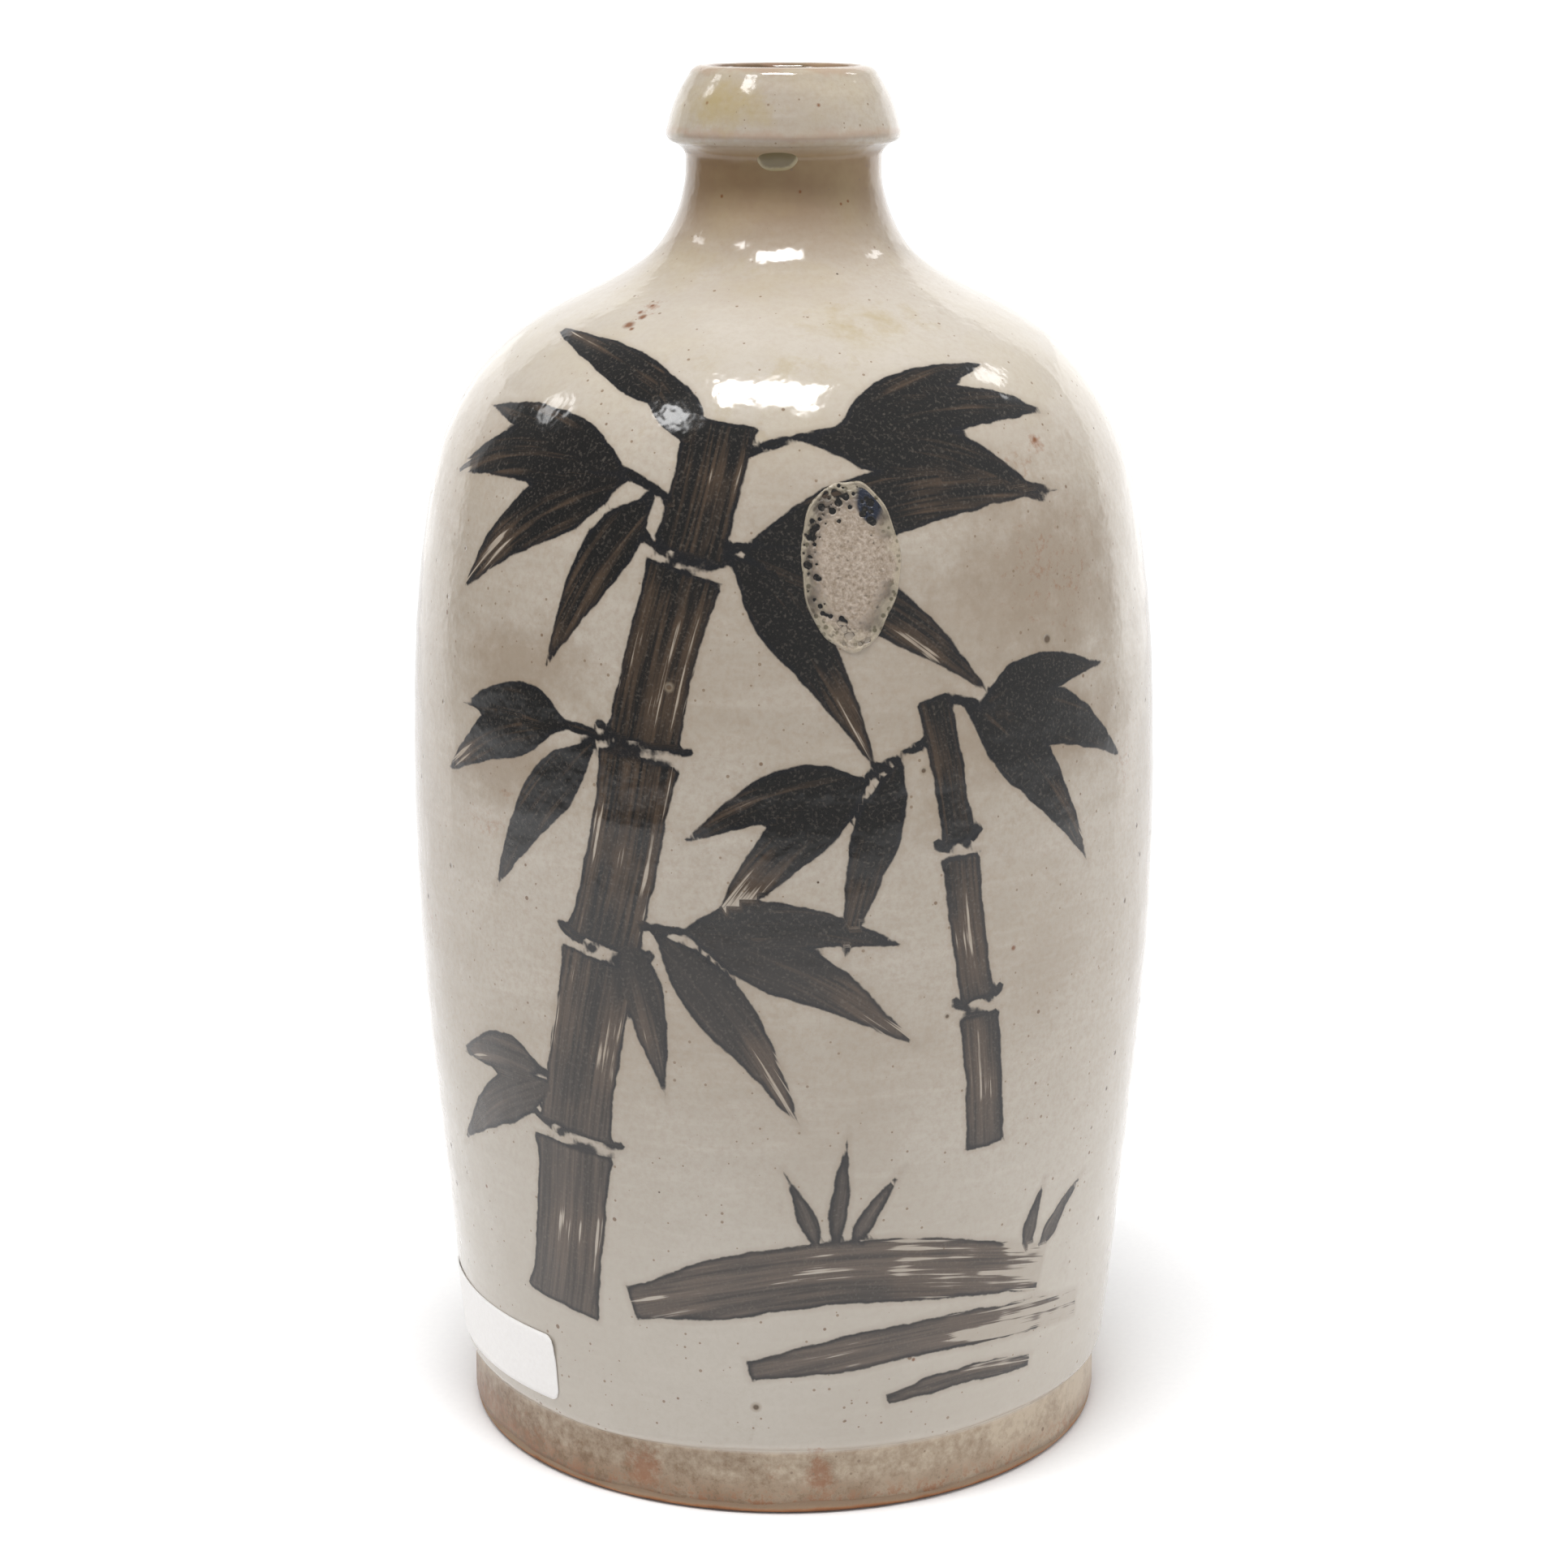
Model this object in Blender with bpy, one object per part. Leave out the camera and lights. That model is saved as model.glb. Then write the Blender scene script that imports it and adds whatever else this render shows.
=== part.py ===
"""A wheel-thrown stoneware sake bottle of one sho, glazed outside, with a blank paper label.

Three solids: the fired clay vessel, the glass coat that wraps it from inside the throat to just above the
edge of the foot, and the label stuck low on the wall. Blender units are metres. The bottle stands on
z = 0 with its axis on Z, and its decorated front faces -Y.
"""

import math

import bmesh
import bpy
import numpy as np

MM = 0.001

# Driving dimensions, in millimetres. Outer radii are of the glaze surface.
HEIGHT = 245.0
FOOT_RADIUS = 58.5
FOOT_HEIGHT = 11.9
FOOT_EDGE_BEVEL = 1.0
FOOT_RING_WIDTH = 9.0
FOOT_RECESS = 2.5
FLOOR_TOP = 10.0

COLLAR_RADIUS = 20.5
COLLAR_HEM_HEIGHT = 233.6
COLLAR_HEM_ROUND = 1.7
COLLAR_SIDE = ((18.1, 240.6), (19.4, 237.5))
LIP_CREST_RADIUS = 14.0
LIP_OUTER_ROUND = 2.6
MOUTH_RADIUS = 12.5

GLAZE_THICKNESS = 0.7
CLEARANCE = 0.3
GLAZE_FOOT_LINE = 2.0
GLAZE_THROAT_DEPTH = 28.0
SEGMENTS = 48

LABEL_WIDTH = 44.45
LABEL_HEIGHT = 12.7
LABEL_CORNER = 2.0
LABEL_THICKNESS = 0.2
LABEL_BOTTOM = 15.4
LABEL_RIGHT_AZIMUTH = -41.0
LABEL_COLUMNS = 10
LABEL_CORNER_STEPS = 4

# (radius, height) of the outer wall, from the top of the foot's ledge up to the neck.
WALL_STATIONS = (
    (60.3, 14.5),
    (60.9, 20.0),
    (62.7, 40.7),
    (65.4, 72.0),
    (66.9, 117.5),
    (65.8, 144.6),
    (63.3, 167.0),
    (59.8, 181.0),
    (54.6, 190.7),
    (48.0, 198.0),
    (36.4, 205.2),
    (29.1, 208.8),
    (22.6, 213.3),
    (19.1, 218.8),
    (17.2, 226.0),
    (17.1, 229.6),
)
WALL_POINTS = 27

# (radius, height) of the cavity, from the edge of its floor up to the throat.
CAVITY_STATIONS = (
    (38.0, FLOOR_TOP),
    (50.0, 13.0),
    (54.5, 23.0),
    (56.3, 45.0),
    (58.9, 80.0),
    (59.6, 115.0),
    (58.6, 145.0),
    (55.5, 168.0),
    (50.5, 183.0),
    (42.0, 193.5),
    (30.0, 201.0),
    (19.5, 208.0),
    (14.0, 214.5),
)
CAVITY_POINTS = 18


def smooth_curve(stations, count):
    """count points, evenly spaced along the natural cubic spline through the stations."""
    knots = np.array(stations, float)
    chords = np.linalg.norm(np.diff(knots, axis=0), axis=1)
    at = np.concatenate([[0.0], np.cumsum(chords)])
    last = len(knots) - 1
    system = np.eye(len(knots))
    right = np.zeros((len(knots), 2))
    for i in range(1, last):
        slope_in = (knots[i] - knots[i - 1]) / chords[i - 1]
        slope_out = (knots[i + 1] - knots[i]) / chords[i]
        system[i, i - 1 : i + 2] = (
            chords[i - 1],
            2.0 * (chords[i - 1] + chords[i]),
            chords[i],
        )
        right[i] = 6.0 * (slope_out - slope_in)
    bend = np.linalg.solve(system, right)
    points = []
    for s in np.linspace(0.0, at[-1], count):
        i = min(int(np.searchsorted(at, s, side="right")) - 1, last - 1)
        chord = chords[i]
        ahead = at[i + 1] - s
        behind = s - at[i]
        curved = (bend[i] * ahead**3 + bend[i + 1] * behind**3) / (6.0 * chord)
        from_start = (knots[i] / chord - bend[i] * chord / 6.0) * ahead
        from_end = (knots[i + 1] / chord - bend[i + 1] * chord / 6.0) * behind
        points.append(tuple(curved + from_start + from_end))
    return points


def arc(centre, radius, start_degrees, end_degrees, steps):
    """Points of an arc in the (radius, height) plane, both ends included."""
    angles = np.radians(np.linspace(start_degrees, end_degrees, steps + 1))
    return [(centre[0] + radius * math.cos(a), centre[1] + radius * math.sin(a)) for a in angles]


def glaze_surface():
    """The glaze surface: up the throat, over the lip and collar, then down the wall to the foot."""
    lip_inner_round = LIP_CREST_RADIUS - MOUTH_RADIUS
    inner_centre = (LIP_CREST_RADIUS, HEIGHT - lip_inner_round)
    outer_centre = (LIP_CREST_RADIUS, HEIGHT - LIP_OUTER_ROUND)
    hem_centre = (COLLAR_RADIUS - COLLAR_HEM_ROUND, COLLAR_HEM_HEIGHT)
    path = [(MOUTH_RADIUS, HEIGHT - GLAZE_THROAT_DEPTH)]
    path += arc(inner_centre, lip_inner_round, 180.0, 90.0, 3)
    path += arc(outer_centre, LIP_OUTER_ROUND, 60.0, 20.0, 2)
    path += COLLAR_SIDE
    path += arc(hem_centre, COLLAR_HEM_ROUND, 25.0, -80.0, 4)
    path += reversed(smooth_curve(WALL_STATIONS, WALL_POINTS))
    path += [(59.6, 12.8), (FOOT_RADIUS, FOOT_HEIGHT), (FOOT_RADIUS, GLAZE_FOOT_LINE)]
    return path


def inset(path, distance):
    """The path moved by distance to its right, which is towards the clay."""
    points = np.array(path, float)
    along = np.diff(points, axis=0)
    along /= np.linalg.norm(along, axis=1)[:, None]
    normals = np.stack([along[:, 1], -along[:, 0]], axis=1)
    before = np.concatenate([normals[:1], normals])
    after = np.concatenate([normals, normals[-1:]])
    mitre = (before + after) / (1.0 + np.sum(before * after, axis=1))[:, None]
    return [tuple(point) for point in points + distance * mitre]


def turned(name, outline, material, closed):
    """A solid of revolution about Z, whose outline runs down its outer side; closed joins its ends."""
    mesh = bpy.data.meshes.new(name)
    corners = [(radius * MM, 0.0, height * MM) for radius, height in outline]
    edges = [(i, i + 1) for i in range(len(corners) - 1)]
    if closed:
        edges.append((len(corners) - 1, 0))
    mesh.from_pydata(corners, edges, [])
    mesh.materials.append(material)
    piece = bpy.data.objects.new(name, mesh)
    bpy.context.scene.collection.objects.link(piece)
    lathe = piece.modifiers.new("lathe", "SCREW")
    lathe.axis = "Z"
    lathe.steps = SEGMENTS
    lathe.render_steps = SEGMENTS
    lathe.use_merge_vertices = True
    lathe.merge_threshold = 0.00001
    lathe.use_smooth_shade = True
    return piece


def stoneware_body(material):
    """The thrown vessel: cavity, throat, the wall that lies under the glaze, and the bare foot ring."""
    under_glaze = inset(glaze_surface(), GLAZE_THICKNESS + CLEARANCE)
    throat_step = HEIGHT - GLAZE_THROAT_DEPTH - CLEARANCE
    foot_step = GLAZE_FOOT_LINE - CLEARANCE
    ring_inner = FOOT_RADIUS - FOOT_RING_WIDTH
    outline = [(0.0, FLOOR_TOP)]
    outline += smooth_curve(CAVITY_STATIONS, CAVITY_POINTS)
    outline += [(MOUTH_RADIUS, throat_step), (under_glaze[0][0], throat_step)]
    outline += under_glaze[1:-1]
    outline += [
        (under_glaze[-1][0], foot_step),
        (FOOT_RADIUS, foot_step),
        (FOOT_RADIUS, FOOT_EDGE_BEVEL),
        (FOOT_RADIUS - FOOT_EDGE_BEVEL, 0.0),
        (ring_inner, 0.0),
        (ring_inner - FOOT_RECESS, FOOT_RECESS),
        (0.0, FOOT_RECESS),
    ]
    return turned("stoneware_body", outline, material, closed=False)


def glaze_coat(material):
    """The fired glass coat, one closed shell of even thickness."""
    surface = glaze_surface()
    outline = surface + inset(surface, GLAZE_THICKNESS)[::-1]
    return turned("glaze_coat", outline, material, closed=True)


def label_columns():
    """(distance from the right edge, half the height there) of each column, with rounded corners."""
    half = LABEL_HEIGHT / 2.0
    centre = (LABEL_CORNER, half - LABEL_CORNER)
    near_corner = arc(centre, LABEL_CORNER, 180.0, 90.0, LABEL_CORNER_STEPS)
    middle = np.linspace(LABEL_CORNER, LABEL_WIDTH - LABEL_CORNER, LABEL_COLUMNS + 1)[1:-1]
    far_corner = [(LABEL_WIDTH - across, tall) for across, tall in reversed(near_corner)]
    return near_corner + [(across, half) for across in middle] + far_corner


def price_label(material):
    """A blank adhesive paper label with rounded corners that follows the wall."""
    wall = smooth_curve(WALL_STATIONS, 200)
    radii, heights = zip(*wall)
    middle = LABEL_BOTTOM + LABEL_HEIGHT / 2.0
    back = CLEARANCE
    front = CLEARANCE + LABEL_THICKNESS
    turn_per_mm = 1.0 / float(np.interp(middle, heights, radii))

    def corner(across, height, lift):
        turn = math.radians(LABEL_RIGHT_AZIMUTH) - across * turn_per_mm
        radius = float(np.interp(height, heights, radii)) + lift
        place = (radius * math.sin(turn), -radius * math.cos(turn), height)
        return shell.verts.new([MM * value for value in place])

    shell = bmesh.new()
    rings = []
    for across, half in label_columns():
        section = (
            (middle - half, back),
            (middle - half, front),
            (middle, front),
            (middle + half, front),
            (middle + half, back),
            (middle, back),
        )
        rings.append([corner(across, height, lift) for height, lift in section])
    for ring, following in zip(rings, rings[1:]):
        for i in range(len(ring)):
            j = (i + 1) % len(ring)
            shell.faces.new((ring[i], following[i], following[j], ring[j]))
    shell.faces.new(rings[0])
    shell.faces.new(reversed(rings[-1]))
    bmesh.ops.recalc_face_normals(shell, faces=shell.faces)
    mesh = bpy.data.meshes.new("price_label")
    shell.to_mesh(mesh)
    shell.free()
    mesh.materials.append(material)
    piece = bpy.data.objects.new("price_label", mesh)
    bpy.context.scene.collection.objects.link(piece)
    return piece


def finish(name, colour, roughness):
    """A plain, non-metallic surface of a linear colour."""
    material = bpy.data.materials.new(name)
    material.use_nodes = True
    shader = material.node_tree.nodes["Principled BSDF"]
    shader.inputs["Base Color"].default_value = (*colour, 1.0)
    shader.inputs["Roughness"].default_value = roughness
    shader.inputs["Metallic"].default_value = 0.0
    return material


def main():
    for item in list(bpy.data.objects):
        bpy.data.objects.remove(item)
    stoneware_body(finish("bare_stoneware", (0.33, 0.15, 0.07), 0.8))
    glaze_coat(finish("ash_grey_glaze", (0.43, 0.39, 0.34), 0.12))
    price_label(finish("label_paper", (0.86, 0.86, 0.86), 0.55))


main()
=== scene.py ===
"""The look of a one-sho stoneware sake bottle: fired clay, a poured ash glaze with an iron-oxide painting of
bamboo in it, a kiln scar, and a blank paper label. Lengths are in millimetres until a mesh is written."""

import math

import bpy
import numpy as np
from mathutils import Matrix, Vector, noise


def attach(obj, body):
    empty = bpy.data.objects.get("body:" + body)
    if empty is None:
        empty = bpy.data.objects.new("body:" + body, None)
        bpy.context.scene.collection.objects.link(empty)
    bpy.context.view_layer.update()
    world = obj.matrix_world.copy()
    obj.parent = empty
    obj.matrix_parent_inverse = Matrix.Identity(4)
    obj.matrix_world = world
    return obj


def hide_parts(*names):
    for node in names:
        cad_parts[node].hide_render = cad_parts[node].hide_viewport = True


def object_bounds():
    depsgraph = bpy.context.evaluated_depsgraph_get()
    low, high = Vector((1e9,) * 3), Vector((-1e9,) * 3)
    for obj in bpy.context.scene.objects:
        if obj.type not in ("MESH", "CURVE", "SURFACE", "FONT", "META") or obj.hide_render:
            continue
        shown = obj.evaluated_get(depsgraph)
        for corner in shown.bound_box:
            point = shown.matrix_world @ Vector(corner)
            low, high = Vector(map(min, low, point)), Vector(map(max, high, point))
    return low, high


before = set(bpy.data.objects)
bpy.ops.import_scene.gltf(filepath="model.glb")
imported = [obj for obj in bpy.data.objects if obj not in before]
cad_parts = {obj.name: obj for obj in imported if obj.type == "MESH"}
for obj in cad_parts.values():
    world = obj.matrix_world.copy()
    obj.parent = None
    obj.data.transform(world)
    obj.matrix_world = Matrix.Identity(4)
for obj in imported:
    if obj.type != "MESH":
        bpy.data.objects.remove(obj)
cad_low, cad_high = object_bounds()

MM = 0.001

# ---------------------------------------------------------------- sizes, in millimetres

HEIGHT = (cad_high.z - cad_low.z) / MM
FOOT_RADIUS = 58.5
FOOT_HEIGHT = 11.9
FOOT_EDGE_BEVEL = 1.0
FOOT_RING_INNER = 49.5
FOOT_RECESS = 2.5
GLAZE_FOOT_LINE = 2.0
GLAZE_BACK_DEPTH = 1.2
CLAY_BELOW_GLAZE = 0.35
FLOOR_TOP = 10.0
THROAT_DEPTH = 28.0
MOUTH_RADIUS = 12.5
LIP_CREST_RADIUS = 14.0
LIP_OUTER_ROUND = 2.6
COLLAR_HEM_CENTRE = (18.8, 233.6)
COLLAR_HEM_ROUND = 1.7
COLLAR_SIDE = ((18.1, 240.6), (19.4, 237.5))
COLLAR_MIDDLE_RADIUS = 19.0

# (radius, height) of the glazed wall, from the top of the foot's ledge up to the neck.
WALL = (
    (60.3, 14.5),
    (60.9, 20.0),
    (62.7, 40.7),
    (65.4, 72.0),
    (66.9, 117.5),
    (65.8, 144.6),
    (63.3, 167.0),
    (59.8, 181.0),
    (54.6, 190.7),
    (48.0, 198.0),
    (36.4, 205.2),
    (29.1, 208.8),
    (22.6, 213.3),
    (19.1, 218.8),
    (17.2, 226.0),
    (17.1, 229.6),
)

# (radius, height) of the cavity, from the edge of its floor up to the throat.
CAVITY = (
    (38.0, 10.0),
    (50.0, 13.0),
    (54.5, 23.0),
    (56.3, 45.0),
    (58.9, 80.0),
    (59.6, 115.0),
    (58.6, 145.0),
    (55.5, 168.0),
    (50.5, 183.0),
    (42.0, 193.5),
    (30.0, 201.0),
    (19.5, 208.0),
    (14.0, 214.5),
    (MOUTH_RADIUS + 1.0, 217.0),
)

# Azimuths are in degrees, 0 at the decorated front and growing towards the right hand side.
PAINTED_LEFT = -72.0
PAINTED_RIGHT = 62.0
FINE_STEP = 0.62
PLAIN_STEP = 2.4
BODY_COLUMNS = 240

RING_PITCH = 11.0
RING_HEIGHT = 0.03
WARP_HEIGHT = 0.5
SWELL_HEIGHT = 0.11
SWELL_SIZE = 17.0

DROP_AZIMUTH = -3.6
DROP_HEIGHT = 232.0
DROP_LENGTH = 4.4
DROP_HALF_WIDTH = 4.2
DROP_THICKNESS = 0.85
DROP_SUNK = 0.1

SCAR_AZIMUTH = 9.8
SCAR_HEIGHT = 168.4
SCAR_HALF_WIDTH = 8.3
SCAR_HALF_LENGTH = 14.2
SCAR_LEAN = 0.965  # height gained per millimetre up the leaning wall

# Single iron spots, as (azimuth, height, radius).
IRON_SPOTS = (
    (-40.6, 203.4, 1.1),
    (-39.2, 204.6, 0.8),
    (-41.6, 205.2, 0.6),
    (-38.6, 202.9, 0.5),
    (-40.2, 206.2, 0.45),
    (-37.0, 223.5, 0.35),
    (9.0, 224.5, 0.3),
    (33.0, 222.3, 0.3),
    (38.0, 222.7, 0.3),
    (18.0, 239.0, 0.4),
    (-44.0, 239.2, 0.4),
    (46.0, 185.5, 0.6),
    (21.0, 29.0, 0.35),
    (35.0, 102.0, 0.5),
    (-56.0, 52.0, 0.4),
)

# Single burst bubbles in the glaze, as (azimuth, height, radius).
CRATERS = ((42.0, 153.5, 1.1), (20.0, 134.5, 0.6), (-16.5, 148.5, 0.7), (-4.5, 21.5, 0.8), (24.0, 92.0, 0.5))

LABEL_SIZE = (44.45, 12.7)
LABEL_CORNER = 2.0
LABEL_RIGHT_AZIMUTH = -41.0
LABEL_BOTTOM = 15.4
LABEL_LIFT = 0.08
LABEL_THICKNESS = 0.12

# ---------------------------------------------------------------- curves and turned meshes


def smooth_curve(stations, spacing):
    """Points about spacing apart along the natural cubic spline through the stations."""
    knots = np.array(stations, float)
    chords = np.linalg.norm(np.diff(knots, axis=0), axis=1)
    at = np.concatenate([[0.0], np.cumsum(chords)])
    last = len(knots) - 1
    system = np.eye(len(knots))
    right = np.zeros((len(knots), 2))
    for i in range(1, last):
        slope_in = (knots[i] - knots[i - 1]) / chords[i - 1]
        slope_out = (knots[i + 1] - knots[i]) / chords[i]
        system[i, i - 1 : i + 2] = chords[i - 1], 2.0 * (chords[i - 1] + chords[i]), chords[i]
        right[i] = 6.0 * (slope_out - slope_in)
    bend = np.linalg.solve(system, right)
    points = []
    for s in np.linspace(0.0, at[-1], max(2, round(at[-1] / spacing) + 1)):
        i = min(int(np.searchsorted(at, s, side="right")) - 1, last - 1)
        chord = chords[i]
        ahead = at[i + 1] - s
        behind = s - at[i]
        curved = (bend[i] * ahead**3 + bend[i + 1] * behind**3) / (6.0 * chord)
        from_start = (knots[i] / chord - bend[i] * chord / 6.0) * ahead
        from_end = (knots[i + 1] / chord - bend[i + 1] * chord / 6.0) * behind
        points.append(curved + from_start + from_end)
    return points


def arc(centre, radius, start_degrees, end_degrees, steps):
    """Points of an arc in the (radius, height) plane, both ends included."""
    angles = np.radians(np.linspace(start_degrees, end_degrees, steps + 1))
    return [np.array((centre[0] + radius * math.cos(a), centre[1] + radius * math.sin(a))) for a in angles]


def glaze_path():
    """The glaze surface: up the throat, over the lip and collar, then down the wall to the foot's edge."""
    inner_round = LIP_CREST_RADIUS - MOUTH_RADIUS
    throat = [(MOUTH_RADIUS, HEIGHT - THROAT_DEPTH), (MOUTH_RADIUS, HEIGHT - inner_round - 0.6)]
    path = smooth_curve(throat, 2.5)
    path += arc((LIP_CREST_RADIUS, HEIGHT - inner_round), inner_round, 180.0, 90.0, 6)
    lip = arc((LIP_CREST_RADIUS, HEIGHT - LIP_OUTER_ROUND), LIP_OUTER_ROUND, 78.0, 20.0, 5)
    hem = arc(COLLAR_HEM_CENTRE, COLLAR_HEM_ROUND, 25.0, -80.0, 8)
    path += lip[:-1]
    path += smooth_curve([lip[-1], *COLLAR_SIDE, hem[0]], 0.8)
    path += hem[1:]
    underside = smooth_curve([hem[-1], (17.9, 231.1), (17.3, 230.3), WALL[-1]], 0.6)
    path += underside[1:]
    path += list(reversed(smooth_curve(WALL, 1.2)))[1:]
    ledge = [(60.3, 14.5), (60.05, 13.5), (59.4, 12.5), (FOOT_RADIUS + 0.15, FOOT_HEIGHT)]
    path += smooth_curve(ledge, 0.5)[1:]
    path += smooth_curve([(FOOT_RADIUS, FOOT_HEIGHT - 1.2), (FOOT_RADIUS, GLAZE_FOOT_LINE)], 1.1)
    return np.array(path)


def azimuths():
    """Columns round the bottle, closer together over the painted front."""
    front = np.arange(PAINTED_LEFT, PAINTED_RIGHT, FINE_STEP)
    plain = 360.0 - (PAINTED_RIGHT - PAINTED_LEFT)
    rest = np.linspace(PAINTED_RIGHT, PAINTED_RIGHT + plain, round(plain / PLAIN_STEP) + 1)
    return np.radians(np.concatenate([front, rest[:-1]]))


def path_normals(path):
    """Unit normals of a path that runs down its outer side, pointing out of the solid."""
    along = np.gradient(path, axis=0)
    along /= np.linalg.norm(along, axis=1)[:, None]
    return np.stack([-along[:, 1], along[:, 0]], axis=1)


def to_world(azimuth, radius, height):
    return np.stack([radius * np.sin(azimuth), -radius * np.cos(azimuth), height], axis=-1) * MM


def add_mesh(name, points, faces, material):
    mesh = bpy.data.meshes.new(name)
    mesh.from_pydata(np.asarray(points).tolist(), [], faces)
    mesh.materials.append(material)
    mesh.shade_smooth()
    mesh.update()
    piece = bpy.data.objects.new(name, mesh)
    bpy.context.scene.collection.objects.link(piece)
    return piece


def ring_faces(rings, columns, closed):
    """Quads between successive rings of a turned grid; closed also joins the last ring to the first."""
    faces = []
    for i in range(rings if closed else rings - 1):
        low = i * columns
        high = ((i + 1) % rings) * columns
        for j in range(columns):
            k = (j + 1) % columns
            faces.append((low + j, high + j, high + k, low + k))
    return faces


def capped_mesh(name, grid, first, last, material):
    """A closed mesh of a grid of rings, with one point that closes its first ring and one its last."""
    rings, columns, _ = grid.shape
    count = rings * columns
    faces = ring_faces(rings, columns, False)
    for j in range(columns):
        k = (j + 1) % columns
        faces.append((count, j, k))
        faces.append((count + 1, count - columns + k, count - columns + j))
    return add_mesh(name, np.vstack([grid.reshape(-1, 3), first, last]), faces, material)


def store(piece, name, values, rest=0.0):
    """Keeps values on the first points of a piece, and rest on its other points."""
    whole = np.full(len(piece.data.vertices), rest, np.float32)
    whole[: values.size] = values.ravel()
    piece.data.attributes.new(name, "FLOAT", "POINT").data.foreach_set("value", whole)


# ---------------------------------------------------------------- the surface as it was thrown and fired

OUTER_WALL = np.array(smooth_curve(WALL, 0.6))
UNROLLED = WALL[0][1] + np.concatenate(
    [[0.0], np.cumsum(np.linalg.norm(np.diff(OUTER_WALL, axis=0), axis=1))]
)


def fade(value, start, end):
    """0 at start to 1 at end, with soft ends."""
    t = np.clip((value - start) / (end - start), 0.0, 1.0)
    return t * t * (3.0 - 2.0 * t)


def relief(azimuth, height):
    """How far the thrown wall stands off its true circle: finger rings, and the warp of the firing."""
    rings = np.sin(2.0 * math.pi * height / RING_PITCH + azimuth)
    rings = rings + 0.6 * np.sin(2.0 * math.pi * height / (0.57 * RING_PITCH) - 2.0 * azimuth + 1.0)
    warp = np.sin(azimuth + 0.7 + height / 95.0) + 0.6 * np.sin(2.0 * azimuth + 1.3 - height / 70.0)
    warp = warp + 0.35 * np.sin(3.0 * azimuth + height / 33.0)
    held = fade(height, 2.0, 30.0) * (1.0 - 0.75 * fade(height, 185.0, 215.0))
    ringed = fade(height, 16.0, 26.0) * (1.0 - fade(height, 224.0, 230.0))
    return 0.5 * WARP_HEIGHT * warp * held + RING_HEIGHT * rings * ringed


def swell(points):
    """Soft lumps of the glaze surface, which break up what it reflects."""
    places = points.reshape(-1, 3) / (SWELL_SIZE * MM)
    return SWELL_HEIGHT * np.array([noise.noise(Vector(p)) for p in places]).reshape(points.shape[:-1])


def ledge_wave(azimuth):
    """The glaze roll at the ledge hangs a little lower in some places than in others."""
    return 0.28 * np.sin(3.0 * azimuth + 0.4) + 0.2 * np.sin(7.0 * azimuth + 2.0)


def wall_point(azimuth, height, lift):
    """A point lift millimetres proud of the glazed wall."""
    radius = np.interp(height, OUTER_WALL[:, 1], OUTER_WALL[:, 0])
    slope = np.interp(height, OUTER_WALL[:-1, 1], np.diff(OUTER_WALL[:, 0]) / np.diff(OUTER_WALL[:, 1]))
    tilt = np.sqrt(1.0 + slope**2)
    off = lift + relief(azimuth, height)
    return to_world(azimuth, radius + off / tilt, height - off * slope / tilt)


def wall_radius(height):
    return np.interp(height, OUTER_WALL[:, 1], OUTER_WALL[:, 0])


# ---------------------------------------------------------------- the iron painting: bamboo in the wind

# Places are (across, up) in millimetres on the unrolled wall, across from the middle of the front.
CULM = ((-42.0, 34.0), (-38.0, 68.0), (-31.5, 103.0), (-24.0, 138.0), (-16.0, 169.0), (-10.0, 194.0))
CULM_WIDTHS = (15.0, 10.5)
THIN_CULM = ((36.0, 66.0), (34.0, 93.0), (30.0, 121.0), (24.5, 148.0))
THIN_CULM_WIDTHS = (7.5, 5.0)
JOINT_GAP = 1.2
TWIG_WIDTH = 1.7
HOOK_HALF_WIDTH = 0.45

# A leaf is (place along its twig, direction in degrees, length, width, dryness at its tip). Direction 0 is
# to the right. A twig is (where it leaves the stem, its end, its leaves).
TWIGS = (
    (
        (-14.0, 176.0),
        (-29.0, 184.0),
        (
            (0.8, 166, 36, 9.5, 0.2),
            (1.0, 188, 42, 10.5, 0.4),
            (0.8, 211, 46, 10.5, 0.5),
            (0.5, 236, 38, 9.0, 0.6),
        ),
    ),
    ((-12.0, 181.0), (-16.0, 196.0), ((0.5, 128, 22, 8.5, 0.1), (0.9, 156, 36, 9.5, 0.3))),
    (
        (-9.0, 186.0),
        (9.0, 191.0),
        ((1.0, 22, 30, 9.0, 0.1), (0.9, 1, 44, 10.5, 0.3), (0.7, -17, 48, 10.5, 0.4)),
    ),
    (
        (-16.0, 169.0),
        (-6.0, 172.0),
        ((1.0, 6, 58, 11.5, 0.5), (0.9, -31, 50, 10.5, 0.5), (0.7, -56, 44, 10.0, 0.6)),
    ),
    (
        (-25.0, 137.0),
        (-39.0, 141.0),
        ((0.9, 180, 26, 9.0, 0.2), (1.0, 204, 34, 9.5, 0.4), (0.5, 232, 38, 9.5, 0.6)),
    ),
    (
        (25.0, 146.0),
        (35.0, 144.0),
        ((0.8, 6, 30, 8.5, 0.2), (1.0, -22, 38, 10.0, 0.4), (0.6, -48, 42, 10.0, 0.5)),
    ),
    (
        (26.0, 140.0),
        (13.0, 134.0),
        ((1.0, 200, 32, 9.0, 0.3), (0.9, 226, 40, 10.0, 0.5), (0.5, 254, 36, 8.5, 0.6)),
    ),
    ((-36.0, 74.0), (-46.0, 80.0), ((0.9, 186, 24, 8.5, 0.3), (0.6, 214, 34, 9.5, 0.5))),
    (
        (-30.0, 107.0),
        (-16.0, 108.0),
        (
            (0.9, -4, 38, 9.5, 0.3),
            (1.0, -28, 44, 10.5, 0.5),
            (0.6, -54, 42, 10.0, 0.6),
            (0.2, -76, 30, 8.0, 0.5),
        ),
    ),
)
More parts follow.
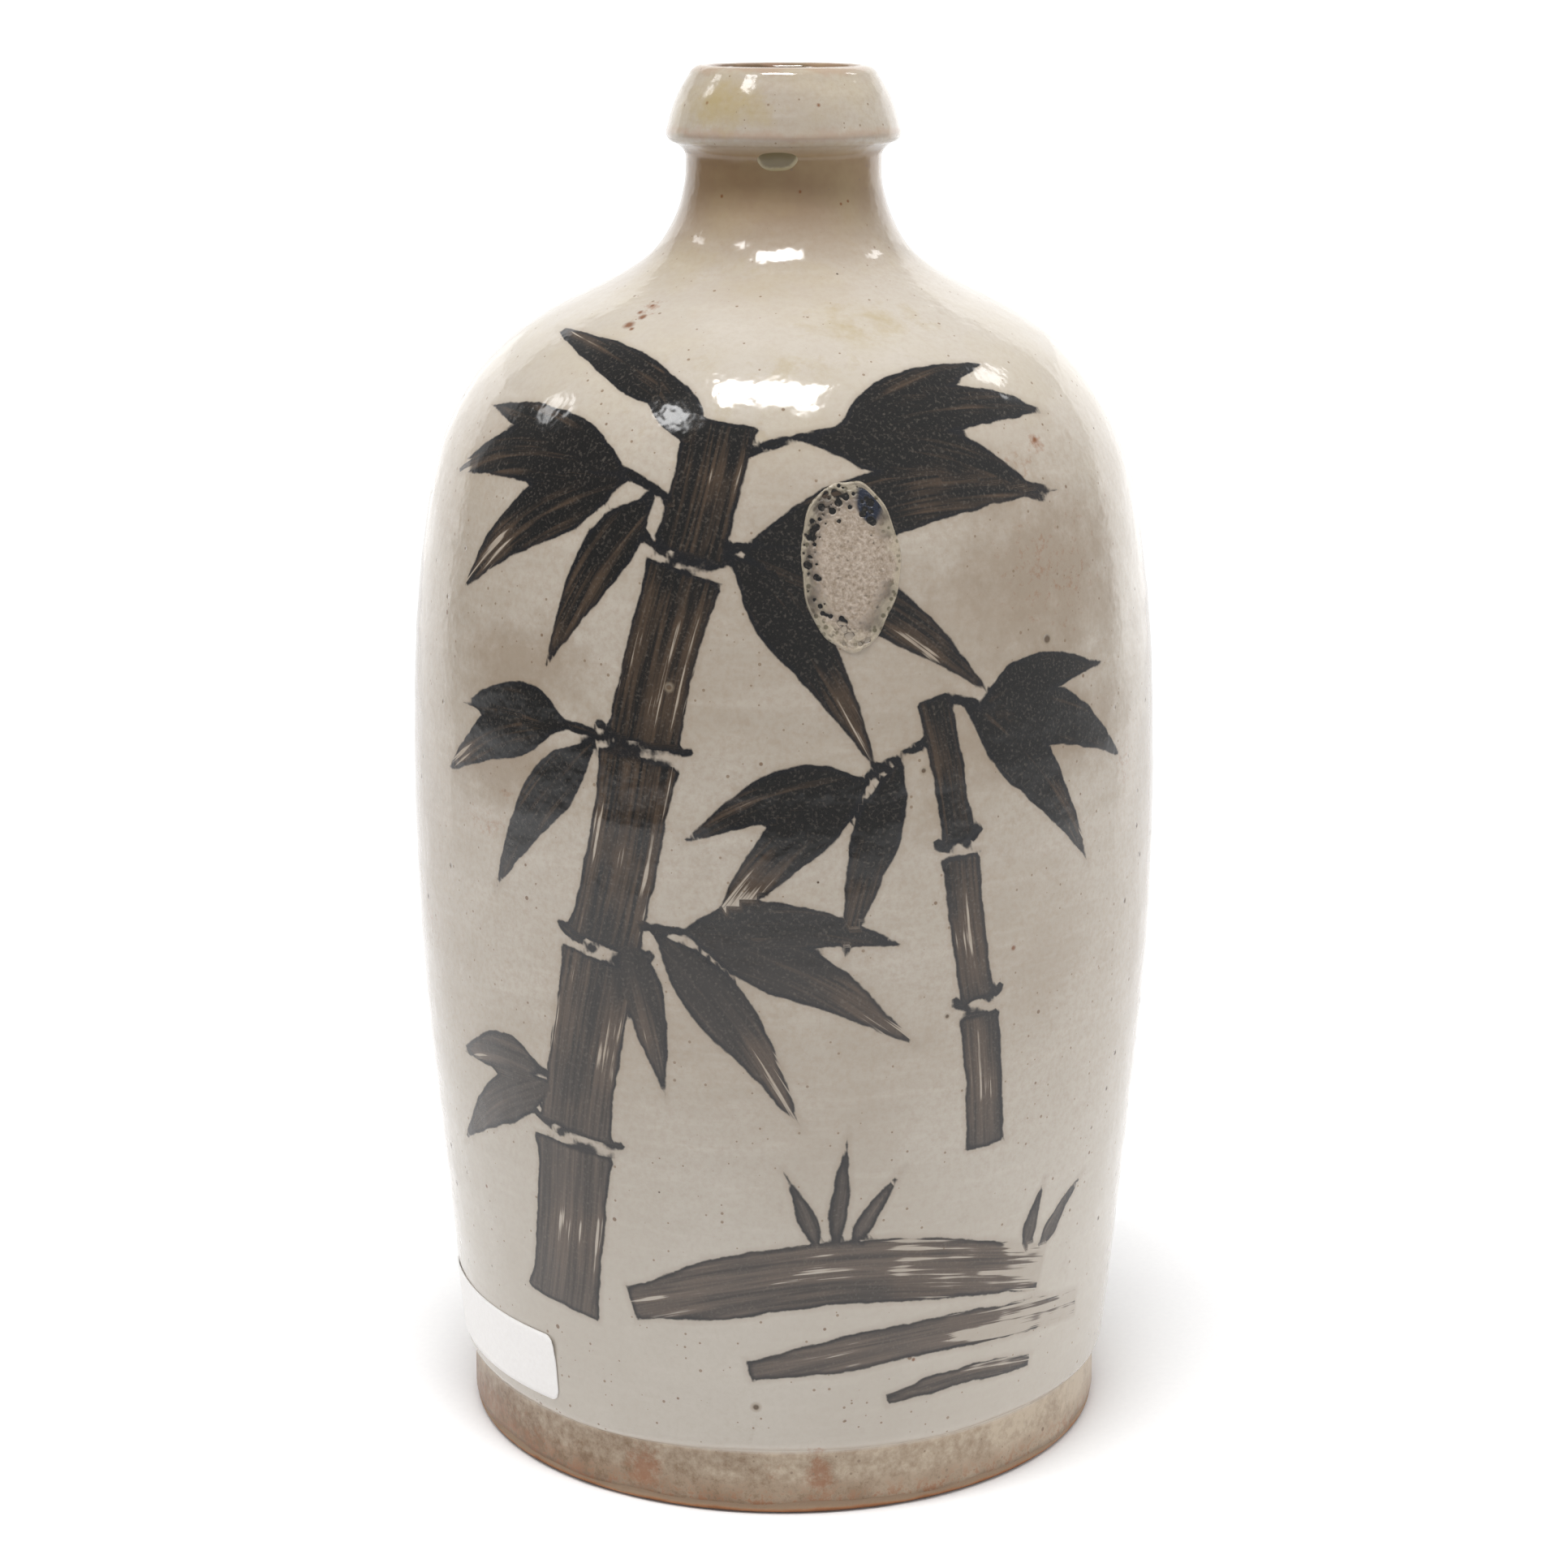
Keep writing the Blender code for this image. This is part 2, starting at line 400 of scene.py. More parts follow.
# The bank the bamboo grows on, as (start, crown, end, width), and blades of grass on it as
# (place, direction in degrees, length).
BANK = (
    ((-27.0, 39.0), (8.0, 47.0), (50.0, 40.5), 12.0),
    ((-6.0, 28.5), (24.0, 33.0), (62.0, 29.5), 7.0),
    ((18.0, 22.0), (34.0, 24.0), (48.0, 22.5), 3.6),
)
GRASS = (
    ((6.0, 51.0), 112, 17),
    ((8.5, 51.0), 84, 23),
    ((11.0, 51.0), 57, 18),
    ((45.0, 44.0), 70, 15),
    ((48.0, 43.0), 42, 19),
)
GRASS_WIDTH = 3.4
STROKE_STEP = 0.5
REACH = 6.0
STROKE_SHIFT = 31.0  # keeps the hairs of one stroke from matching the next
FAR_ACROSS = 500.0  # where points off the outer wall are put, out of the paint's reach
PAINT_FIELDS = ("iron_edge", "stroke_across", "stroke_along", "stroke_dryness")


def brush_line(points):
    line = np.array(smooth_curve(points, STROKE_STEP))
    steps = np.linalg.norm(np.diff(line, axis=0), axis=1)
    return line, np.concatenate([[0.0], np.cumsum(steps)])


def leaf_stroke(start, middle, tip, width, dry):
    """One press and lift of a loaded brush: it swells quickly and runs out to a point."""
    line, along = brush_line((start, middle, tip))
    t = along / along[-1]
    lifted = np.clip((t - 0.34) / 0.66, 0.0, 1.0)
    half = 0.5 * width * fade(t, -0.09, 0.34) * (1.0 - lifted**1.35) ** 1.1
    return line, along, half, dry * fade(t, 0.2, 1.0), False


def bank_stroke(start, crown, end, width):
    """A broad flat stroke laid with the side of the brush, which runs dry with its hairs spread."""
    line, along = brush_line((start, crown, end))
    t = along / along[-1]
    half = 0.5 * width * (0.55 + 0.45 * fade(t, 0.0, 0.25)) * (1.0 - 0.25 * fade(t, 0.6, 1.0))
    return line, along, half, 0.42 + 0.46 * fade(t, 0.3, 1.0), True


def grass_stroke(place, direction, length):
    start = np.array(place)
    way = np.array((math.cos(math.radians(direction)), math.sin(math.radians(direction))))
    middle = start + 0.5 * length * way + (0.0, 0.06 * length)
    return leaf_stroke(start, middle, start + length * way, GRASS_WIDTH, 0.3)


def twig_strokes(foot, end, leaves):
    foot = np.array(foot)
    end = np.array(end)
    line, along = brush_line((foot, 0.5 * (foot + end) + (0.0, 0.8), end))
    strokes = [(line, along, np.full(len(line), 0.5 * TWIG_WIDTH), np.zeros(len(line)), False)]
    for place, direction, length, width, dry in leaves:
        start = foot + place * (end - foot)
        way = np.array((math.cos(math.radians(direction)), math.sin(math.radians(direction))))
        middle = start + 0.5 * length * way + (0.0, 0.075 * length)
        strokes.append(leaf_stroke(start, middle, start + length * way, width, dry))
    return strokes


def culm_strokes(stations, widths):
    """The internodes of a stem, cut square and pressed harder at both ends, with a hook at each joint."""
    strokes = []
    count = len(stations) - 1
    for i, (low, high) in enumerate(zip(stations, stations[1:])):
        start = np.array(low)
        end = np.array(high)
        way = (end - start) / np.linalg.norm(end - start)
        side = np.array((way[1], -way[0]))
        width = widths[0] + (widths[1] - widths[0]) * i / count
        sag = 0.012 * np.linalg.norm(end - start) * side * (-1.0) ** i
        line, along = brush_line((start + JOINT_GAP * way, 0.5 * (start + end) + sag, end - JOINT_GAP * way))
        t = along / along[-1]
        half = 0.5 * width * (1.0 + 0.12 * np.abs(2.0 * t - 1.0) ** 5)
        strokes.append((line, along, half, 0.22 + 0.30 * np.sin(math.pi * t), True))
        if i:
            left = start - 0.66 * width * side + 2.0 * way
            right = start + 0.66 * width * side + 2.4 * way
            mark, run = brush_line((left, start - 0.1 * way, right))
            half = HOOK_HALF_WIDTH * (1.0 + np.abs(2.0 * run / run[-1] - 1.0))
            strokes.append((mark, run, half, np.zeros(len(mark)), False))
    return strokes


def all_strokes():
    """Every stroke as (centre line, distance along it, half width, dryness, whether its ends are square)."""
    strokes = culm_strokes(CULM, CULM_WIDTHS) + culm_strokes(THIN_CULM, THIN_CULM_WIDTHS)
    for twig in TWIGS:
        strokes += twig_strokes(*twig)
    strokes += [bank_stroke(*stroke) for stroke in BANK]
    strokes += [grass_stroke(*blade) for blade in GRASS]
    return strokes


def paint(across, up):
    """For every point of the unrolled wall: distance to the painting's edge, and its place in the stroke."""
    edge = np.full(across.shape, REACH)
    place_across = np.zeros(across.shape)
    place_along = np.zeros(across.shape)
    dryness = np.zeros(across.shape)
    for number, (line, along, half, dry, square) in enumerate(all_strokes()):
        low = line.min(axis=0) - half.max() - REACH
        high = line.max(axis=0) + half.max() + REACH
        near = (across > low[0]) & (across < high[0]) & (up > low[1]) & (up < high[1])
        points = np.stack([across[near], up[near]], axis=1)
        if not len(points):
            continue
        gaps = np.linalg.norm(points[:, None] - line[None], axis=2)
        best = np.argmin(gaps - half[None], axis=1)
        rows = np.arange(len(points))
        found = gaps[rows, best] - half[best]
        way = np.gradient(line, axis=0)
        way /= np.linalg.norm(way, axis=1)[:, None]
        off = points - line[best]
        side = way[best, 0] * off[:, 1] - way[best, 1] * off[:, 0]
        if square:
            before = -(points - line[0]) @ way[0]
            beyond = (points - line[-1]) @ way[-1]
            found = np.maximum(found, np.maximum(before, beyond))
        closer = found < edge[near]
        for whole, part in (
            (edge, found),
            (place_across, side + STROKE_SHIFT * number),
            (place_along, along[best]),
            (dryness, dry[best]),
        ):
            values = whole[near]
            values[closer] = part[closer]
            whole[near] = values
    return edge, place_across, place_along, dryness


# ---------------------------------------------------------------- stains in the glaze

# (azimuth, height, half width, half height, strength), the last three in millimetres and 0 to 1.
STAINS = {
    "rust": (
        (-40.0, 206.0, 2.2, 1.8, 0.5),
        (-49.0, 121.0, 7.0, 3.0, 0.42),
        (-44.0, 127.0, 2.4, 2.2, 0.45),
        (-25.0, 6.5, 4.0, 4.2, 0.85),
        (-2.0, 8.0, 2.4, 2.4, 0.45),
        (6.0, 7.5, 2.6, 4.6, 0.85),
        (-70.0, 5.0, 30.0, 5.0, 0.55),
        (-52.0, 4.0, 12.0, 3.0, 0.5),
        (40.0, 182.0, 6.0, 3.0, 0.42),
        (46.0, 185.0, 2.4, 1.6, 0.6),
        (45.0, 165.0, 16.0, 12.0, 0.36),
        (62.0, 128.0, 5.0, 7.0, 0.4),
        (-70.0, 98.0, 7.0, 5.0, 0.42),
    ),
    "pale": (
        (-41.0, 138.6, 6.0, 1.6, 0.8),
        (-34.0, 140.6, 7.0, 1.8, 0.8),
        (29.0, 145.2, 7.0, 1.8, 0.6),
        (37.0, 147.2, 7.0, 2.0, 0.8),
        (45.0, 149.4, 7.0, 1.8, 0.8),
        (53.0, 151.6, 6.0, 1.4, 0.6),
        (40.0, 141.5, 12.0, 1.4, 0.6),
        (170.0, 120.0, 30.0, 3.0, 0.7),
    ),
    "brown": (
        (43.0, 164.0, 19.0, 13.0, 0.95),
        (42.0, 138.0, 21.0, 6.5, 0.95),
        (-42.0, 148.0, 14.0, 8.0, 0.85),
        (-42.0, 131.0, 16.0, 6.0, 0.9),
        (10.0, 126.0, 30.0, 7.0, 0.3),
        (-8.0, 100.0, 30.0, 6.0, 0.25),
        (150.0, 90.0, 45.0, 30.0, 0.7),
        (-140.0, 150.0, 40.0, 22.0, 0.7),
    ),
    "ochre": (
        (-32.0, 239.0, 7.0, 3.6, 1.0),
        (-12.0, 213.0, 9.0, 4.0, 0.3),
        (22.0, 204.0, 12.0, 3.5, 0.55),
        (2.0, 198.0, 16.0, 3.0, 0.4),
        (-14.0, 190.0, 20.0, 6.0, 0.3),
        (120.0, 203.0, 14.0, 4.0, 0.5),
    ),
}


def stain(kind, azimuth, height):
    whole = np.zeros(azimuth.shape)
    for centre, level, half_width, half_height, strength in STAINS[kind]:
        turned = (azimuth - math.radians(centre) + math.pi) % (2.0 * math.pi) - math.pi
        beside = turned * wall_radius(np.clip(height, WALL[0][1], WALL[-1][1])) / half_width
        above = (height - level) / half_height
        whole = np.maximum(whole, strength * np.exp(-0.7 * (beside**2 + above**2)))
    return whole


# ---------------------------------------------------------------- pieces


def on_piece(piece, node):
    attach(piece, "root")
    if node:
        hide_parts(node)


def store_paint(piece, fields):
    """Keeps the painting's fields on a piece; its points past them lie out of the paint's reach."""
    for name, values in zip(PAINT_FIELDS, fields):
        store(piece, name, values, REACH if name == "iron_edge" else 0.0)


def poured_glaze(material):
    """The glaze as a closed skin: a face with the thrown relief, and a plain back inside the clay."""
    path = glaze_path()
    out = path_normals(path)
    turn = azimuths()
    outside = np.arange(len(path)) > np.argmax(path[:, 1])
    azimuth, _ = np.meshgrid(turn, path[:, 0])
    height = np.repeat(path[:, 1:], len(turn), axis=1)
    lumps = swell(to_world(azimuth, path[:, :1], height))
    off = np.where(outside[:, None], relief(azimuth, height) + lumps, 0.0)
    low = ledge_wave(azimuth) * fade(height, 10.5, 12.3) * (1.0 - fade(height, 14.0, 22.0))
    ragged = 0.2 * np.sin(5.0 * azimuth + 1.0) + 0.2 * np.sin(11.0 * azimuth) + 0.15 * np.sin(23.0 * azimuth)
    low = low + ragged * (1.0 - fade(height, 2.0, 6.0)) * outside[:, None]
    radius = path[:, :1] + off * out[:, :1]
    front = to_world(azimuth, radius, height + off * out[:, 1:] + low)

    fine_rows = np.where(path[:, 1] > 200.0, 3, 12)
    kept = [i for i in range(len(path)) if i % fine_rows[i] == 0 or i == len(path) - 1]
    back = path[kept] - GLAZE_BACK_DEPTH * out[kept]
    back_turn, back_radius = np.meshgrid(turn, back[::-1, 0])
    back_points = to_world(back_turn, back_radius, np.repeat(back[::-1, 1:], len(turn), axis=1))
    points = np.concatenate([front.reshape(-1, 3), back_points.reshape(-1, 3)])
    piece = add_mesh("poured_glaze", points, ring_faces(len(path) + len(kept), len(turn), True), material)

    up = np.interp(height, OUTER_WALL[:, 1], UNROLLED)
    signed = np.where(azimuth > math.pi, azimuth - 2.0 * math.pi, azimuth)
    wall = outside[:, None] & (height > WALL[0][1])
    across = np.where(wall, signed * wall_radius(height), FAR_ACROSS)
    store_paint(piece, paint(across, up))
    for kind in STAINS:
        store(piece, kind, stain(kind, azimuth, height))
    on_piece(piece, "glaze_coat")


def fired_body(material):
    """The clay bottle under the glaze: cavity, wall and foot ring, bare at the foot's edge and inside."""
    glazed = glaze_path()
    under = glazed - CLAY_BELOW_GLAZE * path_normals(glazed)
    inner = [(r, FLOOR_TOP) for r in np.linspace(2.0, CAVITY[0][0], 10)] + smooth_curve(CAVITY, 3.0)[1:]
    path = inner + list(under)
    edge = FOOT_RADIUS - 0.2 - FOOT_EDGE_BEVEL
    path += arc((edge, FOOT_EDGE_BEVEL), FOOT_EDGE_BEVEL, 0.0, -90.0, 7)
    path += [(r, 0.0) for r in np.linspace(edge - 0.6, FOOT_RING_INNER + 0.6, 6)]
    path += [(FOOT_RING_INNER, 0.8), (FOOT_RING_INNER - 1.0, FOOT_RECESS)]
    path += [(r, FOOT_RECESS) for r in np.linspace(FOOT_RING_INNER - 3.0, 3.0, 10)]
    path = np.array(path)
    turn = np.radians(np.arange(BODY_COLUMNS) * 360.0 / BODY_COLUMNS)
    azimuth, radius = np.meshgrid(turn, path[:, 0])
    height = np.repeat(path[:, 1:], BODY_COLUMNS, axis=1)
    crest = len(inner) + np.argmax(glazed[:, 1])
    covered = (np.arange(len(path)) >= crest)[:, None] & (height > GLAZE_FOOT_LINE)
    radius = radius + np.where(covered, relief(azimuth, height), 0.0)
    floor = (0.0, 0.0, FLOOR_TOP * MM)
    base = (0.0, 0.0, FOOT_RECESS * MM)
    piece = capped_mesh("fired_body", to_world(azimuth, radius, height), floor, base, material)
    on_piece(piece, "stoneware_body")


def scar_bubbles():
    """Burst bubbles of the scar as (across, up, radius, depth), thickest along its top and left."""
    random = np.random.default_rng(19)
    bubbles = []
    for _ in range(170):
        angle = random.choice((2.2, 3.1, 1.3, -1.75), p=(0.34, 0.2, 0.22, 0.24)) + random.normal(0.0, 0.36)
        reach = min(random.normal(0.83, 0.1), 0.93)
        size = 0.2 + 0.62 * random.random() ** 2.4
        bubbles.append((reach * math.cos(angle), reach * math.sin(angle), size, 0.75 * size))
    for _ in range(60):
        angle = random.uniform(0.0, 2.0 * math.pi)
        reach = 0.8 * math.sqrt(random.random())
        bubbles.append((reach * math.cos(angle), reach * math.sin(angle), random.uniform(0.14, 0.26), 0.12))
    half = np.array((SCAR_HALF_WIDTH, SCAR_HALF_LENGTH))
    return [(*(half * (x, y)), size, depth) for x, y, size, depth in bubbles]


def kiln_scar(material):
    """An oval where the glaze boiled against its neighbour in the kiln: sandy, bubbled, with a glassy rim."""
    rings = 84
    columns = 190
    turn = np.arange(columns) * 2.0 * math.pi / columns
    reach = np.linspace(0.0, 1.0, rings + 1)[1:]
    wobble = 1.0 + 0.022 * np.sin(3.0 * turn + 0.6) + 0.018 * np.sin(5.0 * turn + 2.0)
    wobble = wobble + 0.01 * np.sin(11.0 * turn)
    x = SCAR_HALF_WIDTH * np.outer(reach, np.cos(turn) * wobble)
    y = SCAR_HALF_LENGTH * np.outer(reach, np.sin(turn) * wobble)
    t = np.repeat(reach[:, None], columns, axis=1)
    uneven = 0.75 + 0.25 * np.sin(2.0 * turn + 0.9) * np.sin(7.0 * turn + 2.0)
    rim = np.exp(-(((t - 0.958) / 0.019) ** 2)) * uneven
    lift = 0.16 * (1.0 - fade(t, 0.9, 0.99)) + 0.30 * rim - 0.2 * fade(t, 0.975, 1.0)
    pit = np.zeros(x.shape)
    for across, up, size, depth in scar_bubbles():
        away = np.sqrt((x - across) ** 2 + (y - up) ** 2) / size
        pit = np.maximum(pit, depth * np.clip(1.0 - away**2, 0.0, 1.0))
        lift = lift + 0.07 * np.exp(-(((away - 1.12) / 0.22) ** 2))
    grain = np.array([noise.noise(Vector((a * 2.0, b * 2.0, 3.0))) for a, b in zip(x.ravel(), y.ravel())])
    lift = lift + 0.11 * grain.reshape(x.shape) * (1.0 - fade(t, 0.88, 0.95)) - pit
    centre = math.radians(SCAR_AZIMUTH)
    height = SCAR_HEIGHT + y * SCAR_LEAN
    azimuth = centre + x / wall_radius(height)
    front = wall_point(azimuth, height, lift)
    behind = wall_point(azimuth[-1:], height[-1:], np.full((1, columns), -1.3))
    tip = wall_point(np.array(centre), np.array(SCAR_HEIGHT), np.array(0.12))
    back = wall_point(np.array(centre), np.array(SCAR_HEIGHT), np.array(-1.8))
    piece = capped_mesh("kiln_scar", np.concatenate([front, behind]), tip, back, material)
    angle = np.arctan2(y / SCAR_HALF_LENGTH, x / SCAR_HALF_WIDTH)
    pool = fade(t, 0.5, 0.72) * (1.0 - fade(t, 0.90, 0.94)) * np.exp(-(((angle - 1.05) / 0.33) ** 2))
    for name, values in (("pit", pit), ("rim", rim), ("pool", pool), ("from_centre", t)):
        store(piece, name, values)
    up = np.interp(height, OUTER_WALL[:, 1], UNROLLED)
    store_paint(piece, paint(azimuth * wall_radius(height), up))
    on_piece(piece, None)


def glaze_drop(material):
    """The drop of glaze that ran down from under the collar's hem and set on the neck."""
    rings = 24
    columns = 64
    turn = np.arange(columns) * 2.0 * math.pi / columns
    reach = np.sin(0.5 * math.pi * np.linspace(0.0, 1.0, rings + 1)[1:])
    outline = 1.0 + 0.04 * np.sin(2.0 * turn + 1.0) + 0.03 * np.sin(5.0 * turn)
    x = DROP_HALF_WIDTH * np.outer(reach, np.cos(turn) * outline)
    y = DROP_LENGTH * np.outer(reach, np.sin(turn) * outline)
    t = np.repeat(reach[:, None], columns, axis=1)
    lift = DROP_THICKNESS * (1.0 - t**2) ** 0.8 - DROP_SUNK
    centre = math.radians(DROP_AZIMUTH)
    neck = WALL[-1][0]
    azimuth = centre + x / neck
    front = to_world(azimuth, neck + lift, DROP_HEIGHT + y)
    behind = to_world(azimuth[-1:], np.full((1, columns), neck - 0.9), DROP_HEIGHT + y[-1:])
    tip = to_world(np.array(centre), np.array(neck + DROP_THICKNESS - DROP_SUNK), np.array(DROP_HEIGHT))
    back = to_world(np.array(centre), np.array(neck - 1.2), np.array(DROP_HEIGHT))
    piece = capped_mesh("glaze_drop", np.concatenate([front, behind]), tip, back, material)
    store(piece, "from_centre", np.concatenate([t.ravel(), np.ones(columns), (0.0, 1.0)]))
    on_piece(piece, None)


def blank_label(material):
    """A paper label with round corners and nothing written on it, bent round the wall."""
    columns = 96
    rows = 14
    width, tall = LABEL_SIZE
    across = np.linspace(-0.5 * width, 0.5 * width, columns + 1)
    inset = np.clip(np.abs(across) - 0.5 * width + LABEL_CORNER, 0.0, LABEL_CORNER)
    half = 0.5 * tall - LABEL_CORNER + np.sqrt(LABEL_CORNER**2 - inset**2)
    half = np.maximum(half, 0.5 * tall - LABEL_CORNER)
    share = np.linspace(-1.0, 1.0, rows + 1)[:, None]
    height = LABEL_BOTTOM + 0.5 * tall + share * half[None]
    right = math.radians(LABEL_RIGHT_AZIMUTH)
    azimuth = right + (across[None] - 0.5 * width) / wall_radius(LABEL_BOTTOM + 0.5 * tall)
    curl = 0.25 * fade(across[None] / (0.5 * width), 0.9, 1.0) * fade(share, 0.4, 1.0)
    top = wall_point(azimuth, height, LABEL_LIFT + LABEL_THICKNESS + curl)
    under = wall_point(azimuth, height, LABEL_LIFT + curl)
    side = columns + 1
    count = side * (rows + 1)
    faces = []
    for i in range(rows):
        for j in range(columns):
            a = i * side + j
            faces.append((a, a + 1, a + side + 1, a + side))
            faces.append((count + a, count + a + side, count + a + side + 1, count + a + 1))
    loop = list(range(side))
    loop += [i * side + columns for i in range(1, rows + 1)]
    loop += [rows * side + j for j in range(columns - 1, -1, -1)]
    loop += [i * side for i in range(rows - 1, 0, -1)]
    for a, b in zip(loop, loop[1:] + loop[:1]):
        faces.append((b, a, count + a, count + b))
    points = np.concatenate([top.reshape(-1, 3), under.reshape(-1, 3)])
    piece = add_mesh("blank_label", points, faces, material)
    on_piece(piece, "price_label")


# ---------------------------------------------------------------- finishes

# Settings of a value that eases in and out between two levels.
SMOOTH = {"interpolation_type": "SMOOTHSTEP"}


def colour(hexadecimal):
    """An sRGB colour as the linear colour that a shader takes."""
    channels = [int(hexadecimal[i : i + 2], 16) / 255.0 for i in (1, 3, 5)]
    return (*[c / 12.92 if c <= 0.04045 else ((c + 0.055) / 1.055) ** 2.4 for c in channels], 1.0)


def add_node(tree, kind, sockets, **settings):
    """One node with its settings. A socket takes a value, an output, or a node for its first live output."""
    node = tree.nodes.new("ShaderNode" + kind)
    for name, value in settings.items():
        setattr(node, name, value)
    for name, value in sockets.items():
        if isinstance(value, bpy.types.Node):
            value = next(output for output in value.outputs if output.enabled)
        if isinstance(value, bpy.types.NodeSocket):
            tree.links.new(value, node.inputs[name])
        else:
            node.inputs[name].default_value = value
    return node


def new_finish(name):
    """An empty material, its node tree, and the place on the object in millimetres."""
    material = bpy.data.materials.new(name)
    material.use_nodes = True
    tree = material.node_tree
    tree.nodes.clear()
    place = add_node(tree, "TexCoord", {}).outputs["Object"]
    return material, tree, add_node(tree, "VectorMath", {0: place, "Scale": 1.0 / MM}, operation="SCALE")


def off_axis(tree, at):
    """Distance from the bottle's axis."""
    flat = add_node(tree, "VectorMath", {0: at, 1: (1.0, 1.0, 0.0)}, operation="MULTIPLY")
    return add_node(tree, "VectorMath", {0: flat}, operation="LENGTH")


def close_finish(tree, base, rough, bump, ior):
    shader = add_node(
        tree, "BsdfPrincipled", {"Base Color": base, "Roughness": rough, "Normal": bump, "IOR": ior}
    )
    add_node(tree, "OutputMaterial", {"Surface": shader})


# Tints are laid over the glaze in the order they are listed, as (amount, colour).


def thrown_tints(tree, at, sandy):
    """Faint bands 9 mm apart and lines 1.6 mm apart drawn out round the wall, and sand showing through."""
    drawn = add_node(tree, "VectorMath", {0: at, 1: (0.13, 0.13, 1.0)}, operation="MULTIPLY")
    bands = add_node(tree, "TexNoise", {"Vector": drawn, "Scale": 1 / 9, "Detail": 3.0, "Roughness": 0.6})
    band = add_node(tree, "MapRange", {0: bands, 1: 0.42, 2: 0.70, 4: 0.35})
    lines = add_node(tree, "TexNoise", {"Vector": drawn, "Scale": 1 / 1.6, "Detail": 2.0, "Roughness": 0.5})
    line = add_node(tree, "MapRange", {0: lines, 1: 0.5, 2: 0.78, 4: 0.18})
    sand = add_node(tree, "MapRange", {0: sandy, 1: 0.42, 2: 0.75, 4: 0.6})
    return [(band, colour("#a59b8c")), (line, colour("#c8c0b6")), (sand, colour("#9b8b7a"))]


def glaze_tone_and_painted_light_tints(tree, at, height):
    """The wall is painted paler and greyer low down, as painted light thrown up from the floor, and paler on
    the shoulder, as painted light from above. Painted shade darkens the inside of the mouth.
    The neck is browner where the glaze runs thin, and darkest under the collar's hem, where painted shade is
    added. The glaze is pulled back pinkish brown from the lip and the collar's hem, and is yellower higher
    up."""
    # Painted light: paler and greyer low on the wall for light thrown up from the floor, and paler on the
    # shoulder for light from above.
    low = add_node(tree, "MapRange", {0: height, 1: 95.0, 2: 30.0, 4: 0.55}, **SMOOTH)
    up = add_node(tree, "MapRange", {0: height, 1: 178.0, 2: 200.0, 4: 0.42}, **SMOOTH)
    below = add_node(tree, "MapRange", {0: height, 1: 206.0, 2: 214.0, 3: 1.0, 4: 0.0})
    crown = add_node(tree, "Math", {0: up, 1: below}, operation="MULTIPLY")
    # Painted shade: the inside of the mouth is darkened brown.
    radius = off_axis(tree, at)
    inside = add_node(tree, "MapRange", {0: radius, 1: 12.9, 2: 14.0, 3: 1.0, 4: 0.0}, **SMOOTH)
    tints = [(low, colour("#bbb5ac")), (crown, colour("#c5beb3")), (inside, colour("#5f4a36"))]

    uneven = add_node(tree, "TexNoise", {"Vector": at, "Scale": 1 / 6, "Detail": 3.0, "Roughness": 0.6})
    shift = add_node(tree, "MapRange", {0: uneven, 1: 0.3, 2: 0.7, 3: -0.9, 4: 0.9})
    wavy = add_node(tree, "Math", {0: height, 1: shift}, operation="ADD")
    for level, most in ((HEIGHT, 0.5), (COLLAR_HEM_CENTRE[1] + 0.4, 0.42)):
        above = add_node(tree, "Math", {0: wavy, 1: level}, operation="SUBTRACT")
        away = add_node(tree, "Math", {0: above}, operation="ABSOLUTE")
        pulled = add_node(tree, "MapRange", {0: away, 1: 0.0, 2: 1.3, 3: most, 4: 0.0}, **SMOOTH)
        tints.append((pulled, colour("#9a7c68")))

    # The neck is browner where the glaze runs thin, with painted shade added darkest just under the collar's
    # hem.
    neck_up = add_node(tree, "MapRange", {0: height, 1: 210.0, 2: 227.0}, **SMOOTH)
    neck_down = add_node(tree, "MapRange", {0: height, 1: 230.0, 2: 232.5, 3: 1.0, 4: 0.0}, **SMOOTH)
    neck = add_node(tree, "Math", {0: neck_up, 1: neck_down}, operation="MULTIPLY")
    high = add_node(tree, "MapRange", {0: height, 1: 165.0, 2: 215.0, 4: 0.3})
    mossy = add_node(tree, "TexNoise", {"Vector": at, "Scale": 1 / 16, "Detail": 4.0, "Roughness": 0.62})
    moss = add_node(tree, "MapRange", {0: mossy, 1: 0.45, 2: 0.66, 4: 0.8})
    ochre = add_node(tree, "Math", {0: moss, 1: high}, operation="MULTIPLY")
    return tints + [(neck, colour("#866d50")), (ochre, colour("#a99a72"))]


def foot_tints(tree, at, parts, foot):
    """The foot is smoked brown and grey in clouds 9 mm and flecks 1.6 mm across, with rust low down."""
    smoke = add_node(tree, "TexNoise", {"Vector": at, "Scale": 1 / 9, "Detail": 3.0, "Roughness": 0.6})
    soot = add_node(tree, "TexNoise", {"Vector": at, "Scale": 1 / 1.6, "Detail": 5.0, "Roughness": 0.72})
    mottle = add_node(tree, "Mix", {0: 0.55, 2: smoke, 3: soot}, data_type="FLOAT")
    rising = add_node(tree, "Math", {0: parts["Z"], 1: 0.012, 2: mottle}, operation="MULTIPLY_ADD")
    leaning = add_node(tree, "Math", {0: parts["X"], 1: 0.0016, 2: rising}, operation="MULTIPLY_ADD")
    smoky = add_node(tree, "MapRange", {0: leaning, 1: 0.42, 2: 0.74})
    burnt = add_node(tree, "Mix", {0: smoky, 6: colour("#745a3f"), 7: colour("#b4a48f")}, data_type="RGBA")
    rust_low = add_node(tree, "MapRange", {0: parts["Z"], 1: 1.5, 2: 6.5, 3: 0.95, 4: 0.0})
    rusty = add_node(tree, "MapRange", {0: soot, 1: 0.48, 2: 0.58})
    rust = add_node(tree, "Math", {0: rust_low, 1: rusty}, operation="MULTIPLY")
    return [(foot, burnt), (rust, colour("#86552f"))]


